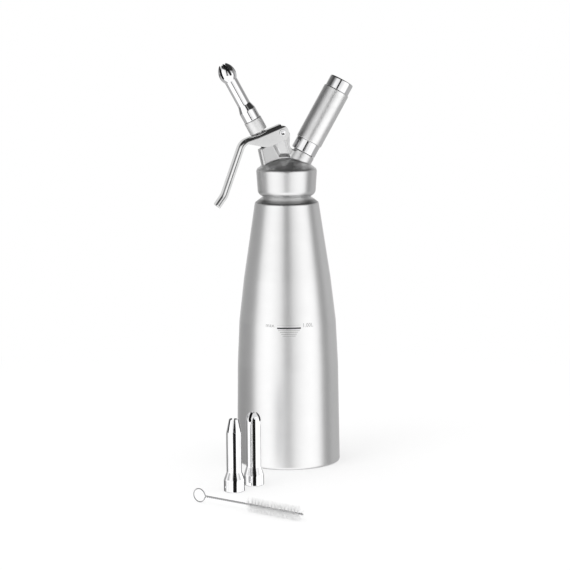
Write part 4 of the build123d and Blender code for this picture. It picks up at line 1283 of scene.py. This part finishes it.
def makeBristles():
    b, gap = brush["bristle"], brush["endGap"]
    run = brush["bristlesTo"] - brush["bristlesFrom"] - 2 * gap
    obj = treePiece("brushBristles", bristleTree(), {
        "Count": b["count"], "Run": run * mm, "Length": b["length"] * mm, "Thickness": b["thick"] * mm,
        "Pitch": b["pitch"] * mm, "Spread": b["spread"], "Seed": b["seed"], "Finish": bristleWhite})
    obj.data.transform(inMetres(brushMatrix() @ Matrix.Translation((brush["bristlesFrom"] + gap, 0, 0))))
    obj.data.shade_smooth()
    finish(obj, bristleWhite, "brush", "bristle_plastic", "brush_bristles")


makeBrushWire()
makeBristles()
print("brush done")


kept = {
    "head_gasket": darkRubber, "stem_guide": guidePlastic, "stem_oring": darkRubber,
    "check_valve": darkRubber, "piercing_pin": plainSteel, "charger_seal": darkRubber,
    "valve_seal": darkRubber, "holder_cushion": darkRubber,
}
for node, mat in kept.items():
    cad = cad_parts[node]
    cad.data.materials.clear()
    cad.data.materials.append(mat)


# tones of the panels by degrees to the side of the camera, in bands of height;
# the gap lists how far a look rises and half the width there in degrees
studio = {
    "level": [(-180, 0.66), (-168, 0.72), (-160, 0.80), (-150, 0.48), (-130, 0.40), (-84, 0.35), (-79, 1.16),
              (-55, 1.31), (-38, 1.27), (-24, 1.11), (0, 0.90), (20, 0.92), (38, 1.21), (55, 1.32),
              (79, 1.31), (83, 0.27), (104, 0.27), (112, 0.58), (150, 0.50), (160, 0.74), (180, 0.66)],
    "raised": [(-180, 0.58), (-158, 0.66), (-142, 0.22), (-80, 0.16), (-66, 0.80), (-45, 1.10), (0, 0.85),
               (45, 1.10), (66, 0.80), (80, 0.30), (142, 0.36), (158, 0.66), (180, 0.58)],
    "below": [(-180, 0.70), (-150, 0.20), (-90, 0.15), (-79, 1.00), (-50, 1.20), (50, 1.20), (78, 1.15),
              (84, 0.22), (104, 0.22), (112, 0.50), (150, 0.45), (180, 0.70)],
    "deep": [(-180, 0.70), (-150, 0.50), (-86, 0.45), (-74, 1.20), (74, 1.20), (86, 0.45), (150, 0.50),
             (180, 0.70)],
    "gap": [(-0.30, 0), (-0.26, 13), (-0.205, 13), (-0.19, 4), (-0.165, 3), (-0.15, 5), (-0.12, 6), (0, 8.5),
            (0.07, 9.5), (0.085, 3), (0.14, 3), (0.155, 10), (0.30, 10)],
    "gapSpan": 0.6, "gapMost": 20.0, "gapEdge": 1.5, "dark": 0.04, "zenith": 0.035,
    "ambient": 1.0, "yaw": -10.0,
    "fades": {"raised": (0.17, 0.36), "below": (0.15, 0.23), "deep": (0.30, 0.42), "zenith": (0.42, 0.62)},
}


def makeWorld():
    # metal sees panels to both sides of the camera, a dark gap between them, and a dark ceiling
    v, fades = studio, studio["fades"]
    world = bpy.data.worlds.new("studio")
    bpy.context.scene.world = world
    world.use_nodes = True
    tree = world.node_tree
    tree.nodes.clear()
    make = tree.nodes.new

    def feed(socket, value):
        if isinstance(value, bpy.types.NodeSocket):
            tree.links.new(value, socket)
        else:
            socket.default_value = value

    def maths(kind, *values):
        node = newNode(tree, "ShaderNodeMath", operation=kind)
        for socket, value in zip(node.inputs, values):
            feed(socket, value)
        return node.outputs[0]

    def panels(stops, turn):
        node = make("ShaderNodeValToRGB")
        ramp = node.color_ramp
        while len(ramp.elements) < len(stops):
            ramp.elements.new(0.5)
        for element, (deg, value) in zip(ramp.elements, stops):
            element.position = (deg + 180) / 360
            element.color = (value, value, value, 1)
        feed(node.inputs["Fac"], turn)
        return node.outputs["Color"]

    def fade(value, ends, first, second):
        step = newNode(tree, "ShaderNodeMapRange", {"From Min": ends[0], "From Max": ends[1]},
                       interpolation_type="SMOOTHSTEP")
        feed(step.inputs["Value"], value)
        mix = newNode(tree, "ShaderNodeMix", data_type="RGBA")
        link(tree, step, "Result", mix, 0)
        feed(mix.inputs[6], first)
        feed(mix.inputs[7], second)
        return mix.outputs[2]

    def ground(tone):
        node = make("ShaderNodeBackground")
        feed(node.inputs["Color"], tone)
        return node

    coords, split = make("ShaderNodeTexCoord"), make("ShaderNodeSeparateXYZ")
    link(tree, coords, "Generated", split, "Vector")
    x, y, z = split.outputs
    angle = maths("ARCTAN2", x, maths("MULTIPLY", y, -1.0))
    turn = maths("FRACT", maths("MULTIPLY_ADD", angle, 0.5 / math.pi, 0.5 - v["yaw"] / 360))
    drop = maths("MULTIPLY", z, -1.0)
    tone = fade(z, fades["raised"], panels(v["level"], turn), panels(v["raised"], turn))
    for band in ("below", "deep"):
        tone = fade(drop, fades[band], tone, panels(v[band], turn))
    aside = maths("MULTIPLY", maths("ABSOLUTE", maths("SUBTRACT", turn, 0.5)), 360.0)
    span, most, edge = v["gapSpan"], v["gapMost"], v["gapEdge"]
    stops = [(height * 360 / span, width / most) for height, width in v["gap"]]
    gap = maths("MULTIPLY", panels(stops, maths("MULTIPLY_ADD", z, 1.0 / span, 0.5)), most)
    tone = fade(maths("SUBTRACT", aside, gap), (-edge, edge), (*grey(v["dark"]), 1), tone)
    tone = fade(z, fades["zenith"], tone, (*grey(v["zenith"]), 1))
    metal, white, soft = ground(tone), ground((1, 1, 1, 1)), ground((*grey(v["ambient"]), 1))
    path, out = make("ShaderNodeLightPath"), make("ShaderNodeOutputWorld")
    shine, seen = make("ShaderNodeMixShader"), make("ShaderNodeMixShader")
    linkAll(tree, [
        (path, "Is Glossy Ray", shine, 0), (soft, 0, shine, 1), (metal, 0, shine, 2),
        (path, "Is Camera Ray", seen, 0), (shine, 0, seen, 1), (white, 0, seen, 2), (seen, 0, out, "Surface"),
    ])


def mattTree(name, level, rough):
    mat, tree, shader = nodeTree(name)
    looks = {"Base Color": (*grey(level), 1), "Roughness": rough, "Specular IOR Level": 0.0}
    for label, value in looks.items():
        shader.inputs[label].default_value = value
    return mat, tree, shader


# lengths in metres: half size, drop below the feet, and where the glow starts and is full
whiteTable = {"half": 6.0, "drop": 0.00005, "tone": 0.97, "near": 0.32, "far": 0.70, "nearGlow": 0.56}


def makeFloor():
    # white table that runs out to the white backdrop; metal looks past it to the studio
    v, size = whiteTable, whiteTable["half"]
    mesh = bpy.data.meshes.new("table")
    corners = [(-size, -size, 0), (size, -size, 0), (size, size, 0), (-size, size, 0)]
    mesh.from_pydata(corners, [], [[0, 1, 2, 3]])
    table = inScene("table", mesh)
    table.location.z = -v["drop"]
    mat, tree, shader = mattTree("tableWhite", v["tone"], 0.9)
    make = tree.nodes.new
    coords, far = make("ShaderNodeTexCoord"), newNode(tree, "ShaderNodeVectorMath", operation="LENGTH")
    ends = {"From Min": v["near"], "From Max": v["far"], "To Min": v["nearGlow"]}
    step = newNode(tree, "ShaderNodeMapRange", ends, interpolation_type="SMOOTHSTEP")
    glow, clear = make("ShaderNodeEmission"), make("ShaderNodeBsdfTransparent")
    path, both = make("ShaderNodeLightPath"), newNode(tree, "ShaderNodeMath", operation="MULTIPLY")
    away, mix = make("ShaderNodeMixShader"), make("ShaderNodeMixShader")
    linkAll(tree, [
        (coords, "Object", far, 0), (far, "Value", step, "Value"),
        (path, "Is Camera Ray", both, 0), (step, "Result", both, 1),
        (both, 0, away, 0), (shader, 0, away, 1), (glow, 0, away, 2),
        (path, "Is Glossy Ray", mix, 0), (away, 0, mix, 1), (clear, 0, mix, 2),
        (mix, 0, tree.nodes["Material Output"], "Surface"),
    ])
    mesh.materials.append(mat)


# places and sizes in metres; the panels light the spare nozzles only
lamps = {
    "keyLamp": {"at": (-1.6, -1.2, 2.2), "aim": (0, 0, 0.1), "size": (1.6, 1.6), "watts": 14},
    "sidePanel": {"at": (0.438, -0.103, 0.06), "aim": (-0.062, -0.112, 0.06), "size": (0.44, 0.57),
                  "watts": 0.63},
    "leftPanel": {"at": (-0.55, -0.004, 0.06), "aim": (-0.062, -0.112, 0.06), "size": (0.24, 0.57),
                  "watts": 0.30},
    "topPanel": {"at": (-0.06, 0.0, 0.62), "aim": (-0.06, 0.0, 0.0), "size": (2.0, 2.0), "watts": 10.0},
}


def makeLamp(name):
    v = lamps[name]
    lamp = bpy.data.lights.new(name, "AREA")
    lamp.shape = "DISK" if name == "keyLamp" else "RECTANGLE"
    lamp.size, lamp.size_y = v["size"]
    lamp.energy = v["watts"]
    obj = inScene(name, lamp)
    obj.location = v["at"]
    obj.rotation_euler = (Vector(v["aim"]) - Vector(v["at"])).to_track_quat("-Z", "Y").to_euler()
    return obj


def makePanel(name, pieces):
    # soft panel that only the named pieces see
    panel = makeLamp(name)
    panel.visible_camera = False
    seenBy = bpy.data.collections.new(name + "SeenBy")
    for piece in pieces:
        seenBy.objects.link(bpy.data.objects[piece])
    panel.light_linking.receiver_collection = seenBy


spareCard = {
    "facing": -3.0, "ahead": 14.0, "sides": [(2.8, -8.0), (2.9, 8.0), (4.3, 16.0)],   # half widths at heights
    "tops": {"straight": 57.0, "star": 65.0},
}


def makeCard(kind):
    # narrow black card before a spare nozzle, seen in its reflection only
    v = spareCard
    place = nozzles[kind]["place"] @ Matrix.Rotation(math.radians(v["facing"]), 4, "Z")
    sides = v["sides"] + [(v["sides"][-1][0], v["tops"][kind])]
    corners = sides + [(-a, z) for a, z in reversed(sides)]
    spots = [place @ Vector((a, -v["ahead"], z)) * mm for a, z in corners]
    mesh = bpy.data.meshes.new(kind + "Card")
    mesh.from_pydata(spots, [], [list(range(len(spots)))])
    mesh.materials.append(mattTree(kind + "CardBlack", 0.02, 1.0)[0])
    card = inScene(kind + "Card", mesh)
    card.visible_camera = card.visible_diffuse = card.visible_shadow = card.visible_transmission = False


# metres and radians, with the yaw in degrees, the focal length in pixels and the sensor in millimetres
photo = {"distance": 2.06186, "height": 0.44749, "side": -0.0023, "pitch": 0.13209, "roll": 0.007275,
         "yaw": -10.0, "focal": 2131.57, "pixels": 570, "sensor": 36.0}


def makeCamera():
    cam = bpy.data.cameras.new("camera")
    cam.sensor_fit = "HORIZONTAL"
    cam.sensor_width = photo["sensor"]
    cam.lens = photo["focal"] * photo["sensor"] / photo["pixels"]
    cam.clip_start, cam.clip_end = 0.05, 50
    obj = inScene("camera", cam)
    place = Matrix.Rotation(math.radians(photo["yaw"]), 4, "Z")
    place = place @ Matrix.Translation((photo["side"], -photo["distance"], photo["height"]))
    place = place @ Matrix.Rotation(math.pi / 2 - photo["pitch"], 4, "X")
    obj.matrix_world = place @ Matrix.Rotation(-photo["roll"], 4, "Z")
    bpy.context.scene.camera = obj


makeWorld()
makeFloor()
makeLamp("keyLamp").visible_glossy = False
for name in ("sidePanel", "leftPanel", "topPanel"):
    makePanel(name, ("straightNozzle", "starNozzle"))
for kind in ("straight", "star"):
    makeCard(kind)
makeCamera()
bpy.context.scene.view_settings.view_transform = "Standard"
print("studio done")
